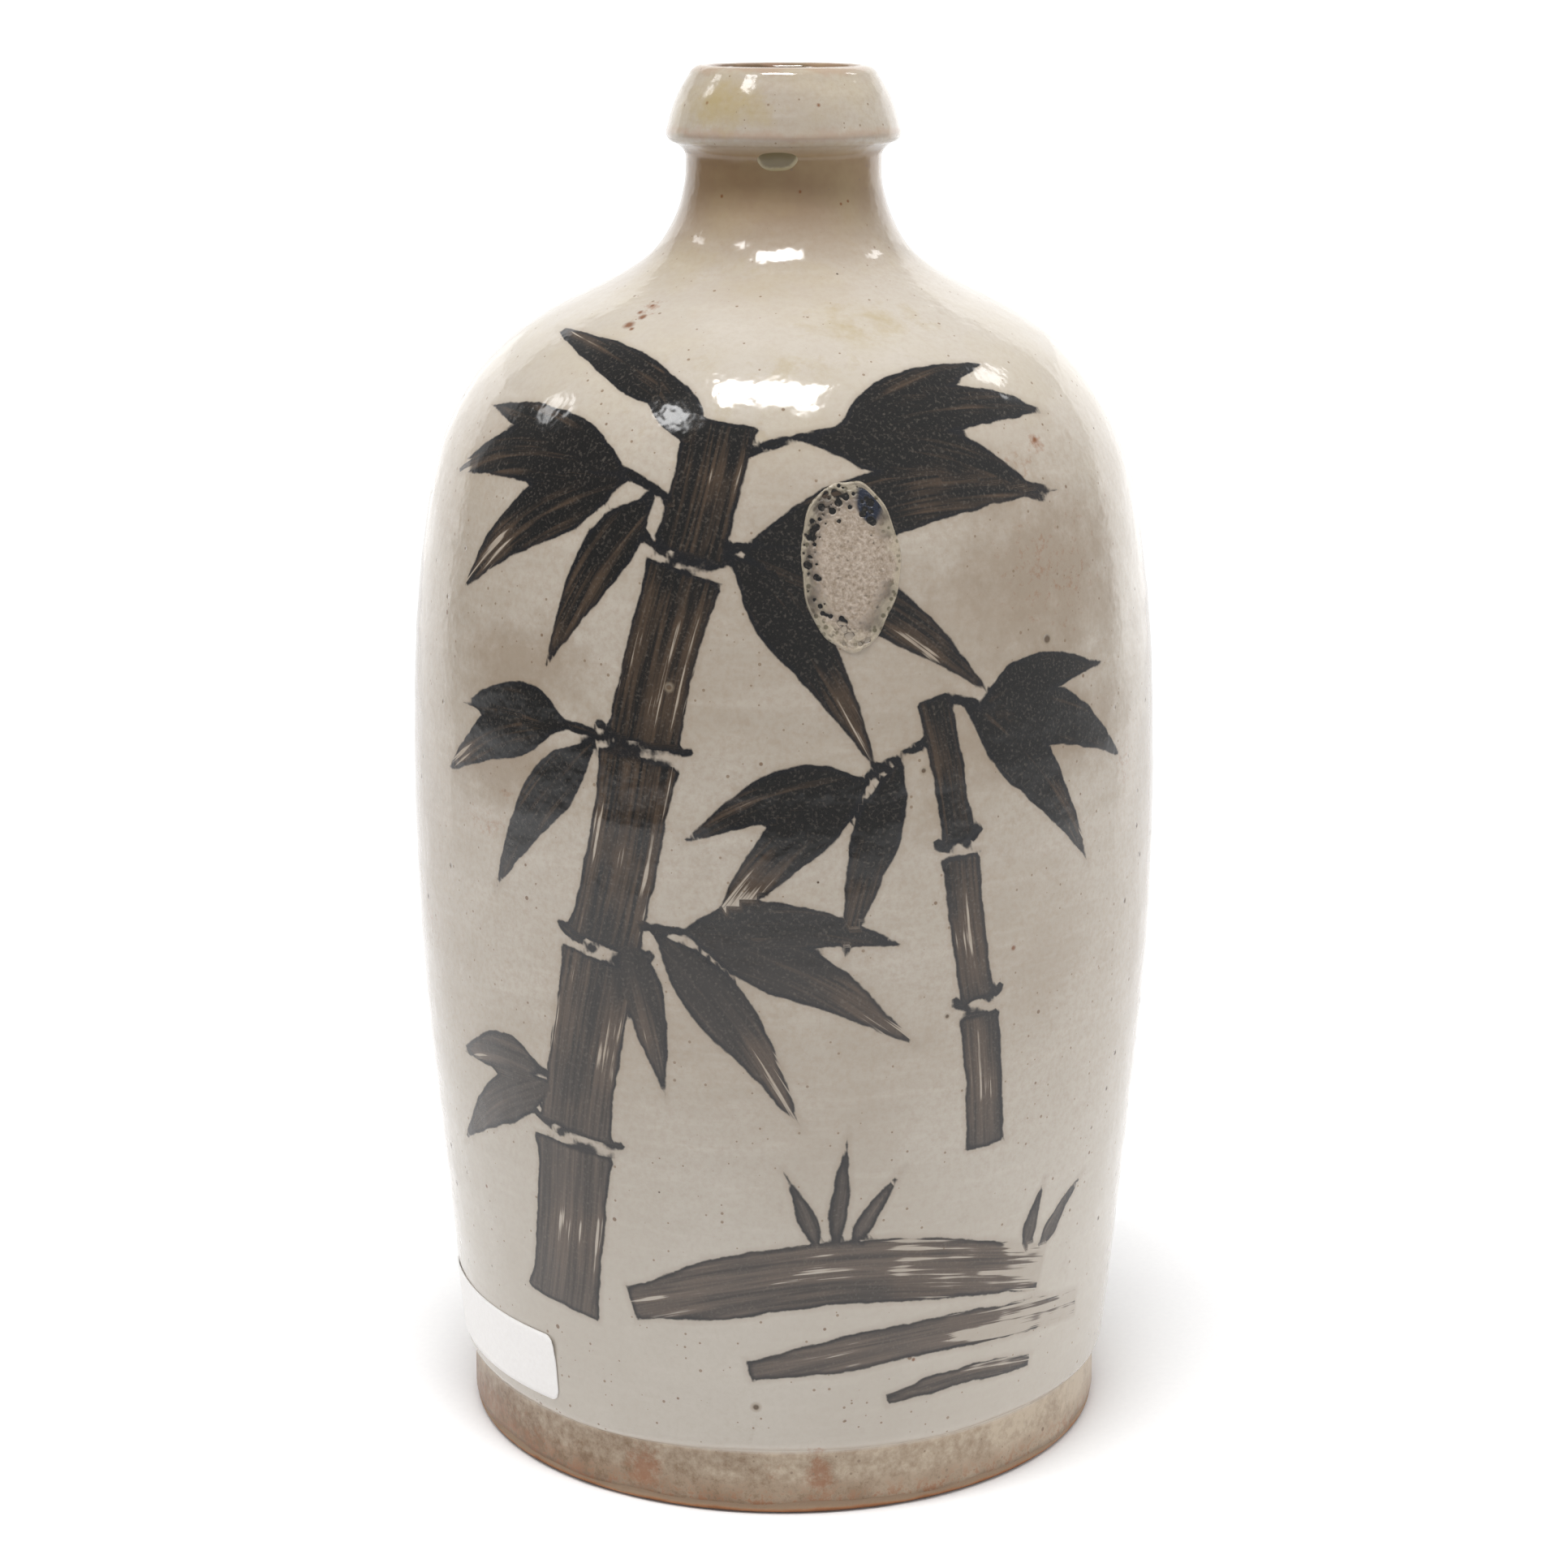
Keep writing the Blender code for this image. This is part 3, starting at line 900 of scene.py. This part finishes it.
def stain_tints(tree, at):
    """Stains at their own places, each broken up by a noise of its own size in millimetres."""
    tints = []
    for kind, size, shade, reach, most in (
        ("brown", 7.0, "#8c7c69", (1.0, 1.62), 0.68),
        ("pale", 4.0, "#c3bbb0", (1.15, 1.8), 0.6),
        ("ochre", 5.0, "#9e8c5e", (1.12, 1.85), 0.7),
        ("rust", 1.3, "#86532f", (1.16, 1.62), 0.72),
    ):
        amount = add_node(tree, "Attribute", {}, attribute_name=kind).outputs["Fac"]
        frayed = add_node(
            tree, "TexNoise", {"Vector": at, "Scale": 1 / size, "Detail": 5.0, "Roughness": 0.68}
        )
        torn = add_node(tree, "Math", {0: frayed, 1: 1.6, 2: amount}, operation="MULTIPLY_ADD")
        held = add_node(tree, "MapRange", {0: torn, 1: reach[0], 2: reach[1], 4: most})
        tints.append((held, colour(shade)))
    return tints


def speck_tints(tree, at, sandy):
    """Iron specks up to 0.9 mm across in cells of 3.6 mm, dust in cells of 1.3 mm, and the single spots."""
    tints = []
    for cell, size, shade in ((3.6, 0.13, "#6a4f38"), (1.3, 0.24, "#806c58")):
        cells = add_node(tree, "TexVoronoi", {"Vector": at, "Scale": 1 / cell})
        chance = add_node(tree, "SeparateColor", {0: cells.outputs["Color"]})
        large = add_node(tree, "Math", {0: chance, 1: 5.0}, operation="POWER")
        limit = add_node(tree, "Math", {0: large, 1: size}, operation="MULTIPLY")
        gap = add_node(tree, "Math", {0: limit, 1: cells}, operation="SUBTRACT")
        speck = add_node(tree, "MapRange", {0: gap, 1: -0.005, 2: 0.03, 4: 0.8})
        tints.append((speck, colour(shade)))
    for azimuth, up, size in IRON_SPOTS:
        centre = wall_point(math.radians(azimuth), up, 0.0) / MM
        if up > WALL[-1][1]:
            centre = to_world(math.radians(azimuth), COLLAR_MIDDLE_RADIUS, up) / MM
        away = add_node(tree, "VectorMath", {0: at, 1: tuple(centre)}, operation="DISTANCE")
        torn = add_node(tree, "Math", {0: sandy, 1: size, 2: away}, operation="MULTIPLY_ADD")
        spot = add_node(tree, "MapRange", {0: torn, 1: 0.9 * size, 2: 1.7 * size, 3: 0.9, 4: 0.0})
        tints.append((spot, colour("#71421f")))
    return tints


def painting_tints(tree, at, height):
    """The iron pigment. Its edge wanders by a third of a millimetre and is darkest where it pooled, hairs
    0.9 mm apart show where the brush was dry, and low on the wall it is paler and greyer: partly thinner
    pigment, partly a painted veil of light thrown up from the floor."""
    edge, across, along, dryness = (
        add_node(tree, "Attribute", {}, attribute_name=name).outputs["Fac"] for name in PAINT_FIELDS
    )
    soak = add_node(tree, "TexNoise", {"Vector": at, "Scale": 1 / 4, "Detail": 4.0, "Roughness": 0.55})
    wander = add_node(tree, "MapRange", {0: soak, 1: 0.25, 2: 0.75, 3: -0.35, 4: 0.35})
    rim = add_node(tree, "Math", {0: edge, 1: wander}, operation="ADD")
    inked = add_node(tree, "MapRange", {0: rim, 1: -0.22, 2: 0.14, 3: 1.0, 4: 0.0}, **SMOOTH)

    in_stroke = add_node(tree, "CombineXYZ", {0: across, 1: along})
    drawn = add_node(tree, "VectorMath", {0: in_stroke, 1: (1.0, 0.035, 1.0)}, operation="MULTIPLY")
    hairs = add_node(tree, "TexNoise", {"Vector": drawn, "Scale": 1 / 0.9, "Detail": 2.5, "Roughness": 0.6})
    tufts = add_node(tree, "TexNoise", {"Vector": drawn, "Scale": 1 / 3.6, "Detail": 1.5, "Roughness": 0.5})
    both = add_node(tree, "Mix", {0: 0.45, 2: hairs, 3: tufts}, data_type="FLOAT")
    loaded = add_node(tree, "TexNoise", {"Vector": at, "Scale": 1 / 12, "Detail": 2.0, "Roughness": 0.5})
    load = add_node(tree, "MapRange", {0: loaded, 1: 0.3, 2: 0.7, 3: 0.22, 4: 0.38})
    dried = add_node(tree, "Math", {0: dryness, 1: 0.33, 2: load}, operation="MULTIPLY_ADD")
    bare = add_node(tree, "Math", {0: dried, 1: both}, operation="SUBTRACT")
    kept = add_node(tree, "MapRange", {0: bare, 1: 0.04, 2: 0.09, 3: 1.0, 4: 0.0}, **SMOOTH)
    iron = add_node(tree, "Math", {0: inked, 1: kept}, operation="MULTIPLY")

    thin = add_node(tree, "MapRange", {0: bare, 1: -0.16, 2: 0.06}, **SMOOTH)
    # Low on the wall the pigment is painted paler and greyer: partly thinner pigment, partly a painted veil
    # of light thrown up from the floor.
    paler_low_with_veil = add_node(tree, "MapRange", {0: height, 1: 130.0, 2: 40.0, 4: 0.7}, **SMOOTH)
    washy = add_node(tree, "MapRange", {0: both, 1: 0.35, 2: 0.62, 3: 1.0, 4: 0.35})
    weaker = add_node(tree, "Math", {0: paler_low_with_veil, 1: washy}, operation="MULTIPLY")
    pepper = add_node(tree, "TexNoise", {"Vector": at, "Scale": 1 / 0.5, "Detail": 1.0, "Roughness": 0.5})
    pale = add_node(tree, "MapRange", {0: pepper, 1: 0.54, 2: 0.82, 4: 0.35})
    pooled = add_node(tree, "MapRange", {0: rim, 1: -1.1, 2: -0.25, 4: 0.75}, **SMOOTH)
    pigment = colour("#151413")
    for amount, shade in ((thin, "#483a2e"), (weaker, "#6c6159"), (pale, "#6f675e"), (pooled, "#15161a")):
        pigment = add_node(tree, "Mix", {0: amount, 6: pigment, 7: colour(shade)}, data_type="RGBA")
    halo = add_node(tree, "MapRange", {0: rim, 1: 0.0, 2: 1.1, 3: 0.22, 4: 0.0})
    return [(halo, colour("#7d6a55")), (iron, pigment)]


def hollow_tints(tree, at, sideways):
    """Pinholes half a millimetre across in cells of 11 mm, pits in cells of 6 mm on both flanks, and the
    single burst bubbles. Returns how deep they are and their tints."""
    holes = add_node(tree, "TexVoronoi", {"Vector": at, "Scale": 1 / 11})
    hole = add_node(tree, "MapRange", {0: holes, 1: 0.010, 2: 0.026, 3: 1.0, 4: 0.0}, **SMOOTH)
    flank = add_node(tree, "Math", {0: sideways}, operation="ABSOLUTE")
    pitted = add_node(tree, "MapRange", {0: flank, 1: 48.0, 2: 58.0, 4: 0.085})
    pits = add_node(tree, "TexVoronoi", {"Vector": at, "Scale": 1 / 6})
    gap = add_node(tree, "Math", {0: pits, 1: pitted}, operation="SUBTRACT")
    pit = add_node(tree, "MapRange", {0: gap, 1: -0.04, 2: 0.02, 3: 1.0, 4: 0.0})
    tints = [(hole, colour("#4a3a2c"))]
    for azimuth, up, size in CRATERS:
        centre = wall_point(math.radians(azimuth), up, 0.0) / MM
        away = add_node(tree, "VectorMath", {0: at, 1: tuple(centre)}, operation="DISTANCE")
        burst = add_node(tree, "MapRange", {0: away, 1: 0.45 * size, 2: 0.8 * size, 3: 1.0, 4: 0.0})
        pit = add_node(tree, "Math", {0: pit, 1: burst}, operation="MAXIMUM")
        ring = add_node(tree, "MapRange", {0: away, 1: 0.8 * size, 2: 1.5 * size, 3: 0.6, 4: 0.0})
        tints.append((ring, colour("#8d7f6c")))
    tints.append((pit, colour("#5c4c3c")))
    return add_node(tree, "Math", {0: pit, 1: 3.0, 2: hole}, operation="MULTIPLY_ADD"), tints


def ash_grey_stoneware_glaze():
    """Feldspar and wood-ash glaze, poured over grey clay and fired to a clear gloss. The eye sees a warm grey
    with broad soft clouds and faint bands from the wheel, brown where it runs thin, peppered with iron specks
    and pinholes, and the brushed iron pigment sunk into it: near black where the brush was full, brown and
    streaked where it ran dry."""
    material, tree, at = new_finish("ash_grey_stoneware_glaze_poured")
    parts = add_node(tree, "SeparateXYZ", {0: at}).outputs
    height = parts["Z"]

    # Clouds about 45 mm across.
    clouds = add_node(tree, "TexNoise", {"Vector": at, "Scale": 1 / 45, "Detail": 5.0, "Roughness": 0.55})
    warm = add_node(tree, "MapRange", {0: clouds, 1: 0.40, 2: 0.64}, **SMOOTH)
    base = add_node(tree, "Mix", {0: warm, 6: colour("#afa69a"), 7: colour("#a4998b")}, data_type="RGBA")
    sandy = add_node(tree, "TexNoise", {"Vector": at, "Scale": 1 / 1.1, "Detail": 4.0, "Roughness": 0.7})
    foot = add_node(tree, "MapRange", {0: height, 1: 11.2, 2: 12.4, 3: 1.0, 4: 0.0}, **SMOOTH)
    tints = thrown_tints(tree, at, sandy) + glaze_tone_and_painted_light_tints(tree, at, height)
    tints += foot_tints(tree, at, parts, foot) + stain_tints(tree, at) + speck_tints(tree, at, sandy)
    tints += painting_tints(tree, at, height)
    depth, hollowed = hollow_tints(tree, at, parts["X"])
    for amount, shade in tints + hollowed:
        base = add_node(tree, "Mix", {0: amount, 6: base, 7: shade}, data_type="RGBA")

    # Orange-peel ripple about 8 mm across and finer.
    ripple = add_node(tree, "TexNoise", {"Vector": at, "Scale": 1 / 8, "Detail": 3.0, "Roughness": 0.6})
    swollen = add_node(tree, "Math", {0: ripple, 1: 6.0}, operation="MULTIPLY")
    level = add_node(tree, "Math", {0: swollen, 1: depth}, operation="SUBTRACT")
    bump = add_node(tree, "Bump", {"Height": level, "Strength": 0.5, "Distance": 0.00008})
    dull = add_node(tree, "MapRange", {0: foot, 3: 0.11, 4: 0.36})
    close_finish(tree, base, dull, bump, 1.5)
    return material


def fired_grey_clay():
    """Iron-bearing stoneware clay, thrown, trimmed and left bare. The eye sees a dry, sandy orange-brown,
    greyer where a thin wash of glaze reached it, and darkened with painted shade where the foot's edge turns
    under."""
    material, tree, at = new_finish("stoneware_clay_thrown_bare")
    height = add_node(tree, "SeparateXYZ", {0: at}).outputs["Z"]
    toast = add_node(tree, "TexNoise", {"Vector": at, "Scale": 1 / 9, "Detail": 5.0, "Roughness": 0.6})
    frayed = add_node(tree, "Math", {0: toast, 1: 1.4, 2: height}, operation="MULTIPLY_ADD")
    on_foot = add_node(tree, "Math", {0: off_axis(tree, at), 1: FOOT_RADIUS - 1.5}, operation="GREATER_THAN")
    washed = add_node(tree, "MapRange", {0: frayed, 1: 1.3, 2: 1.9}, **SMOOTH)
    wash = add_node(tree, "Math", {0: washed, 1: on_foot}, operation="MULTIPLY")
    # Painted shade: the clay low on the foot's edge, where it turns under, is darkened.
    under = add_node(tree, "MapRange", {0: frayed, 1: 0.9, 2: 1.5, 3: 0.7, 4: 0.0})
    shade_under_foot = add_node(tree, "Math", {0: under, 1: on_foot}, operation="MULTIPLY")
    base = colour("#8f5730")
    for amount, shade in ((toast, "#b5825a"), (wash, "#96806a"), (shade_under_foot, "#4a2d1a")):
        base = add_node(tree, "Mix", {0: amount, 6: base, 7: colour(shade)}, data_type="RGBA")
    sand = add_node(tree, "TexNoise", {"Vector": at, "Scale": 1 / 0.6, "Detail": 3.0, "Roughness": 0.6})
    bump = add_node(tree, "Bump", {"Height": sand, "Strength": 0.6, "Distance": 0.0002})
    close_finish(tree, base, 0.85, bump, 1.5)
    return material


def boiled_scar_glaze():
    """The same ash glaze where it boiled. The eye sees a grey-brown sandy skin, foam and black burst bubbles
    round its margin, a clear wet rim painted paler as a painted highlight, and one pool of dark blue glass."""
    material, tree, at = new_finish("ash_glaze_boiled_in_firing")
    edge, outward, rim, pool, pit = (
        add_node(tree, "Attribute", {}, attribute_name=name).outputs["Fac"]
        for name in ("iron_edge", "from_centre", "rim", "pool", "pit")
    )
    sand = add_node(tree, "TexNoise", {"Vector": at, "Scale": 1 / 0.7, "Detail": 5.0, "Roughness": 0.75})
    sandy = add_node(tree, "MapRange", {0: sand, 1: 0.34, 2: 0.66})
    sunk = add_node(tree, "Math", {0: sand, 1: 2.4, 2: edge}, operation="MULTIPLY_ADD")
    inked = add_node(tree, "MapRange", {0: sunk, 1: 0.6, 2: 1.5, 3: 0.85, 4: 0.0})
    blurred = add_node(tree, "Math", {0: sand, 1: 0.5, 2: outward}, operation="MULTIPLY_ADD")
    saved = add_node(tree, "MapRange", {0: blurred, 1: 0.86, 2: 1.12})
    iron = add_node(tree, "Math", {0: inked, 1: saved}, operation="MULTIPLY")

    # Foam of small bubbles round the margin, in cells of 1.2 mm: olive skins, each in a pale ring.
    skins = add_node(tree, "TexVoronoi", {"Vector": at, "Scale": 1 / 1.2, "Randomness": 0.85})
    patchy = add_node(tree, "TexNoise", {"Vector": at, "Scale": 1 / 3.5, "Detail": 1.0, "Roughness": 0.5})
    margin = add_node(tree, "Math", {0: patchy, 1: 0.8, 2: outward}, operation="MULTIPLY_ADD")
    foam = add_node(tree, "MapRange", {0: margin, 1: 1.14, 2: 1.32, 4: 0.6})
    rings = add_node(tree, "MapRange", {0: skins, 1: 0.24, 2: 0.40}, **SMOOTH)
    olive = add_node(tree, "Mix", {0: rings, 6: colour("#655f47"), 7: colour("#b0a590")}, data_type="RGBA")
    # Painted highlight: the glassy rim is painted paler, on top of its real gloss.
    clear = add_node(tree, "MapRange", {0: rim, 1: 0.35, 2: 1.0, 4: 0.75})
    pooled = add_node(tree, "MapRange", {0: pool, 1: 0.25, 2: 0.6}, **SMOOTH)
    deep = add_node(tree, "MapRange", {0: pit, 1: 0.08, 2: 0.32}, **SMOOTH)
    base = colour("#82725f")
    for amount, shade in (
        (sandy, colour("#b6a89a")),
        (iron, colour("#3d352c")),
        (foam, olive),
        (clear, colour("#a89c8a")),
        (pooled, colour("#1b2130")),
        (deep, colour("#3a3128")),
    ):
        base = add_node(tree, "Mix", {0: amount, 6: base, 7: shade}, data_type="RGBA")
    glassy = add_node(tree, "Math", {0: rim, 1: pooled}, operation="MAXIMUM")
    rough = add_node(tree, "MapRange", {0: glassy, 3: 0.34, 4: 0.08})
    skin = add_node(tree, "Math", {0: rings, 1: foam}, operation="MULTIPLY")
    rugged = add_node(tree, "Math", {0: skin, 1: 0.5, 2: sand}, operation="MULTIPLY_ADD")
    bump = add_node(tree, "Bump", {"Height": rugged, "Strength": 0.6, "Distance": 0.0003})
    close_finish(tree, base, rough, bump, 1.5)
    return material


def pooled_drop_glaze():
    """The ash glaze where it pooled thick. The eye sees clear olive glass, paler where it thins out."""
    material, tree, at = new_finish("ash_glaze_pooled_in_a_drop")
    outward = add_node(tree, "Attribute", {}, attribute_name="from_centre").outputs["Fac"]
    cloudy = add_node(tree, "TexNoise", {"Vector": at, "Scale": 1 / 1.5, "Detail": 3.0, "Roughness": 0.6})
    blurred = add_node(tree, "Math", {0: cloudy, 1: 0.16, 2: outward}, operation="MULTIPLY_ADD")
    thinned = add_node(tree, "MapRange", {0: blurred, 1: 0.86, 2: 1.0}, **SMOOTH)
    base = add_node(tree, "Mix", {0: thinned, 6: colour("#6c5f42"), 7: colour("#968a6a")}, data_type="RGBA")
    bump = add_node(tree, "Bump", {"Height": cloudy, "Strength": 0.2, "Distance": 0.0001})
    close_finish(tree, base, 0.07, bump, 1.5)
    return material


def label_paper():
    """Coated wood-free paper, cut and rolled flat. The eye sees a plain white with a soft sheen and faint
    fibres."""
    material, tree, at = new_finish("label_paper_coated")
    fibre = add_node(tree, "TexNoise", {"Vector": at, "Scale": 1 / 0.9, "Detail": 5.0, "Roughness": 0.7})
    base = add_node(tree, "Mix", {0: fibre, 6: colour("#dcd8d5"), 7: colour("#eceae8")}, data_type="RGBA")
    bump = add_node(tree, "Bump", {"Height": fibre, "Strength": 0.3, "Distance": 0.00005})
    close_finish(tree, base, 0.42, bump, 1.5)
    return material


# ---------------------------------------------------------------- the studio

# Places and sizes in the studio are in metres.
SHOULDER = Vector((0.0, 0.0, 0.19))
FOOT = Vector((0.0, 0.0, 0.03))
FLOOR_HALF = 12.0
FLOOR_DROP = 0.0001

# How bright the room and the white paper behind the bottle are, and how the room's light leans.
ROOM_LIGHT = 0.49
PAPER_LIGHT = 1.3
PAPER_TILT = -0.4
ROOM_SLANT = 0.22

# Softboxes, as (name, azimuth and elevation in degrees and distance from the shoulder, size, radiance).
SOFTBOXES = (
    ("overhead_box", -12.0, 75.0, 1.1, (0.50, 0.26), 30.0),
    ("right_window", 119.0, 42.0, 1.5, (0.20, 0.22), 6.5),
    ("left_box", -57.0, 55.0, 1.4, (0.24, 0.18), 14.0),
    ("left_window", -105.0, 36.0, 1.5, (0.16, 0.24), 6.0),
)
PANEL_ASIDE = 0.42
PANEL_FRONT = 0.19
PANEL_SIZE = (1.2, 0.42)
PANEL_LIGHT = 0.45
CARD_ASIDE = 0.55
CARD_SIZE = (0.5, 0.25)
LEFT_CARD_LIGHT = 1.1
RIGHT_CARD_LIGHT = 1.15

CAMERA_PLACE = (0.0, -0.585, 0.264)
CAMERA_DOWN = 14.15
CAMERA_LENS = 75.8
CAMERA_SENSOR = 36.0


def room_light(tree, way):
    """Brightness of the room in a direction: white paper behind the bottle, dimmer in front and above,
    lighter at right."""
    parts = add_node(tree, "SeparateXYZ", {0: way}).outputs
    rising = add_node(tree, "Math", {0: parts["Z"], 1: 0.0}, operation="MAXIMUM")
    forward = add_node(tree, "Math", {0: rising, 1: PAPER_TILT, 2: parts["Y"]}, operation="MULTIPLY_ADD")
    reach = {0: forward, 1: 0.54, 2: 0.585, 3: ROOM_LIGHT, 4: PAPER_LIGHT}
    white = add_node(tree, "MapRange", reach, **SMOOTH)
    return add_node(tree, "Math", {0: parts["X"], 1: ROOM_SLANT, 2: white}, operation="MULTIPLY_ADD")


def white_to_camera(tree, light):
    """The bottle is lit by the room, but the room itself shows as plain white paper from every side."""
    seen = add_node(tree, "LightPath", {}).outputs["Is Camera Ray"]
    return add_node(tree, "Mix", {0: seen, 2: light, 3: PAPER_LIGHT}, data_type="FLOAT")


def white_floor():
    """A matt white table that runs up without a seam into the lit room round it. In front of the bottle its
    colour is painted darker, as painted shade seen only in what it throws on the bottle; the table itself
    shows white."""
    material, tree, at = new_finish("white_studio_floor")
    weave = add_node(tree, "TexNoise", {"Vector": at, "Scale": 0.9, "Detail": 2.0})
    base = add_node(tree, "Mix", {0: weave, 6: colour("#f4f4f5"), 7: colour("#fafafa")}, data_type="RGBA")
    nearness = add_node(tree, "SeparateXYZ", {0: at}).outputs["Y"]
    # Painted shade: in front of the bottle the floor's colour darkens, for every ray but the camera's.
    near = add_node(tree, "MapRange", {0: nearness, 1: -850.0, 2: -360.0, 3: 0.85, 4: 0.0}, **SMOOTH)
    seen = add_node(tree, "LightPath", {}).outputs["Is Camera Ray"]
    unseen = add_node(tree, "Math", {0: 1.0, 1: seen}, operation="SUBTRACT")
    dark = add_node(tree, "Math", {0: near, 1: unseen}, operation="MULTIPLY")
    base = add_node(tree, "Mix", {0: dark, 6: base, 7: colour("#8c8b8a")}, data_type="RGBA")
    bump = add_node(tree, "Bump", {"Height": weave, "Strength": 0.1, "Distance": 0.0001})
    matt = add_node(tree, "BsdfDiffuse", {"Color": base, "Normal": bump})
    way = add_node(tree, "VectorMath", {0: at}, operation="NORMALIZE")
    glow = add_node(tree, "Emission", {"Strength": white_to_camera(tree, room_light(tree, way))})
    distance = add_node(tree, "VectorMath", {0: at}, operation="LENGTH")
    far = add_node(tree, "MapRange", {0: distance, 1: 550.0, 2: 1300.0}, **SMOOTH)
    both = add_node(tree, "MixShader", {0: far, 1: matt, 2: glow})
    add_node(tree, "OutputMaterial", {"Surface": both})
    sides = ((-1.0, -1.0), (1.0, -1.0), (1.0, 1.0), (-1.0, 1.0))
    corners = [(x * FLOOR_HALF, y * FLOOR_HALF, -FLOOR_DROP) for x, y in sides]
    add_mesh("studio_floor", corners, [(0, 1, 2, 3)], material)


def studio_world():
    """White paper all round behind the bottle, and a dimmer room in front of it."""
    world = bpy.data.worlds.new("studio")
    bpy.context.scene.world = world
    world.use_nodes = True
    tree = world.node_tree
    tree.nodes.clear()
    way = add_node(tree, "TexCoord", {}).outputs["Generated"]
    strength = white_to_camera(tree, room_light(tree, way))
    light = add_node(tree, "Background", {"Color": (1.0, 1.0, 1.0, 1.0), "Strength": strength})
    add_node(tree, "OutputWorld", {"Surface": light})


def softbox(name, place, aim, size, radiance):
    """A rectangular light at place, facing aim."""
    data = bpy.data.lights.new(name, "AREA")
    data.shape = "RECTANGLE"
    data.size, data.size_y = size
    data.energy = radiance * math.pi * size[0] * size[1]
    lamp = bpy.data.objects.new(name, data)
    bpy.context.scene.collection.objects.link(lamp)
    lamp.location = place
    lamp.rotation_euler = (place - aim).to_track_quat("Z", "Y").to_euler()
    lamp.visible_camera = False
    return lamp


def from_shoulder(azimuth, elevation, distance):
    a = math.radians(azimuth)
    e = math.radians(elevation)
    way = Vector((math.sin(a) * math.cos(e), -math.cos(a) * math.cos(e), math.sin(e)))
    return SHOULDER + distance * way


def studio():
    white_floor()
    studio_world()
    for name, azimuth, elevation, distance, size, radiance in SOFTBOXES:
        softbox(name, from_shoulder(azimuth, elevation, distance), SHOULDER, size, radiance)
    for side, fill in ((-1.0, LEFT_CARD_LIGHT), (1.0, RIGHT_CARD_LIGHT)):
        middle = Vector((side * PANEL_ASIDE, PANEL_FRONT + 0.5 * PANEL_SIZE[0], 0.5 * PANEL_SIZE[1]))
        softbox("side_panel", middle, middle - Vector((side, 0.0, 0.0)), PANEL_SIZE, PANEL_LIGHT)
        card = softbox("side_fill", Vector((side * CARD_ASIDE, -0.05, 0.16)), FOOT, CARD_SIZE, fill)
        card.visible_glossy = False
    lens = bpy.data.cameras.new("camera")
    lens.lens = CAMERA_LENS
    lens.sensor_width = CAMERA_SENSOR
    camera = bpy.data.objects.new("camera", lens)
    bpy.context.scene.collection.objects.link(camera)
    camera.location = CAMERA_PLACE
    camera.rotation_euler = (math.radians(90.0 - CAMERA_DOWN), 0.0, 0.0)
    bpy.context.scene.camera = camera
    bpy.context.scene.view_settings.view_transform = "Standard"


# ---------------------------------------------------------------- the bottle, put together

poured_glaze(ash_grey_stoneware_glaze())
fired_body(fired_grey_clay())
kiln_scar(boiled_scar_glaze())
glaze_drop(pooled_drop_glaze())
blank_label(label_paper())
studio()
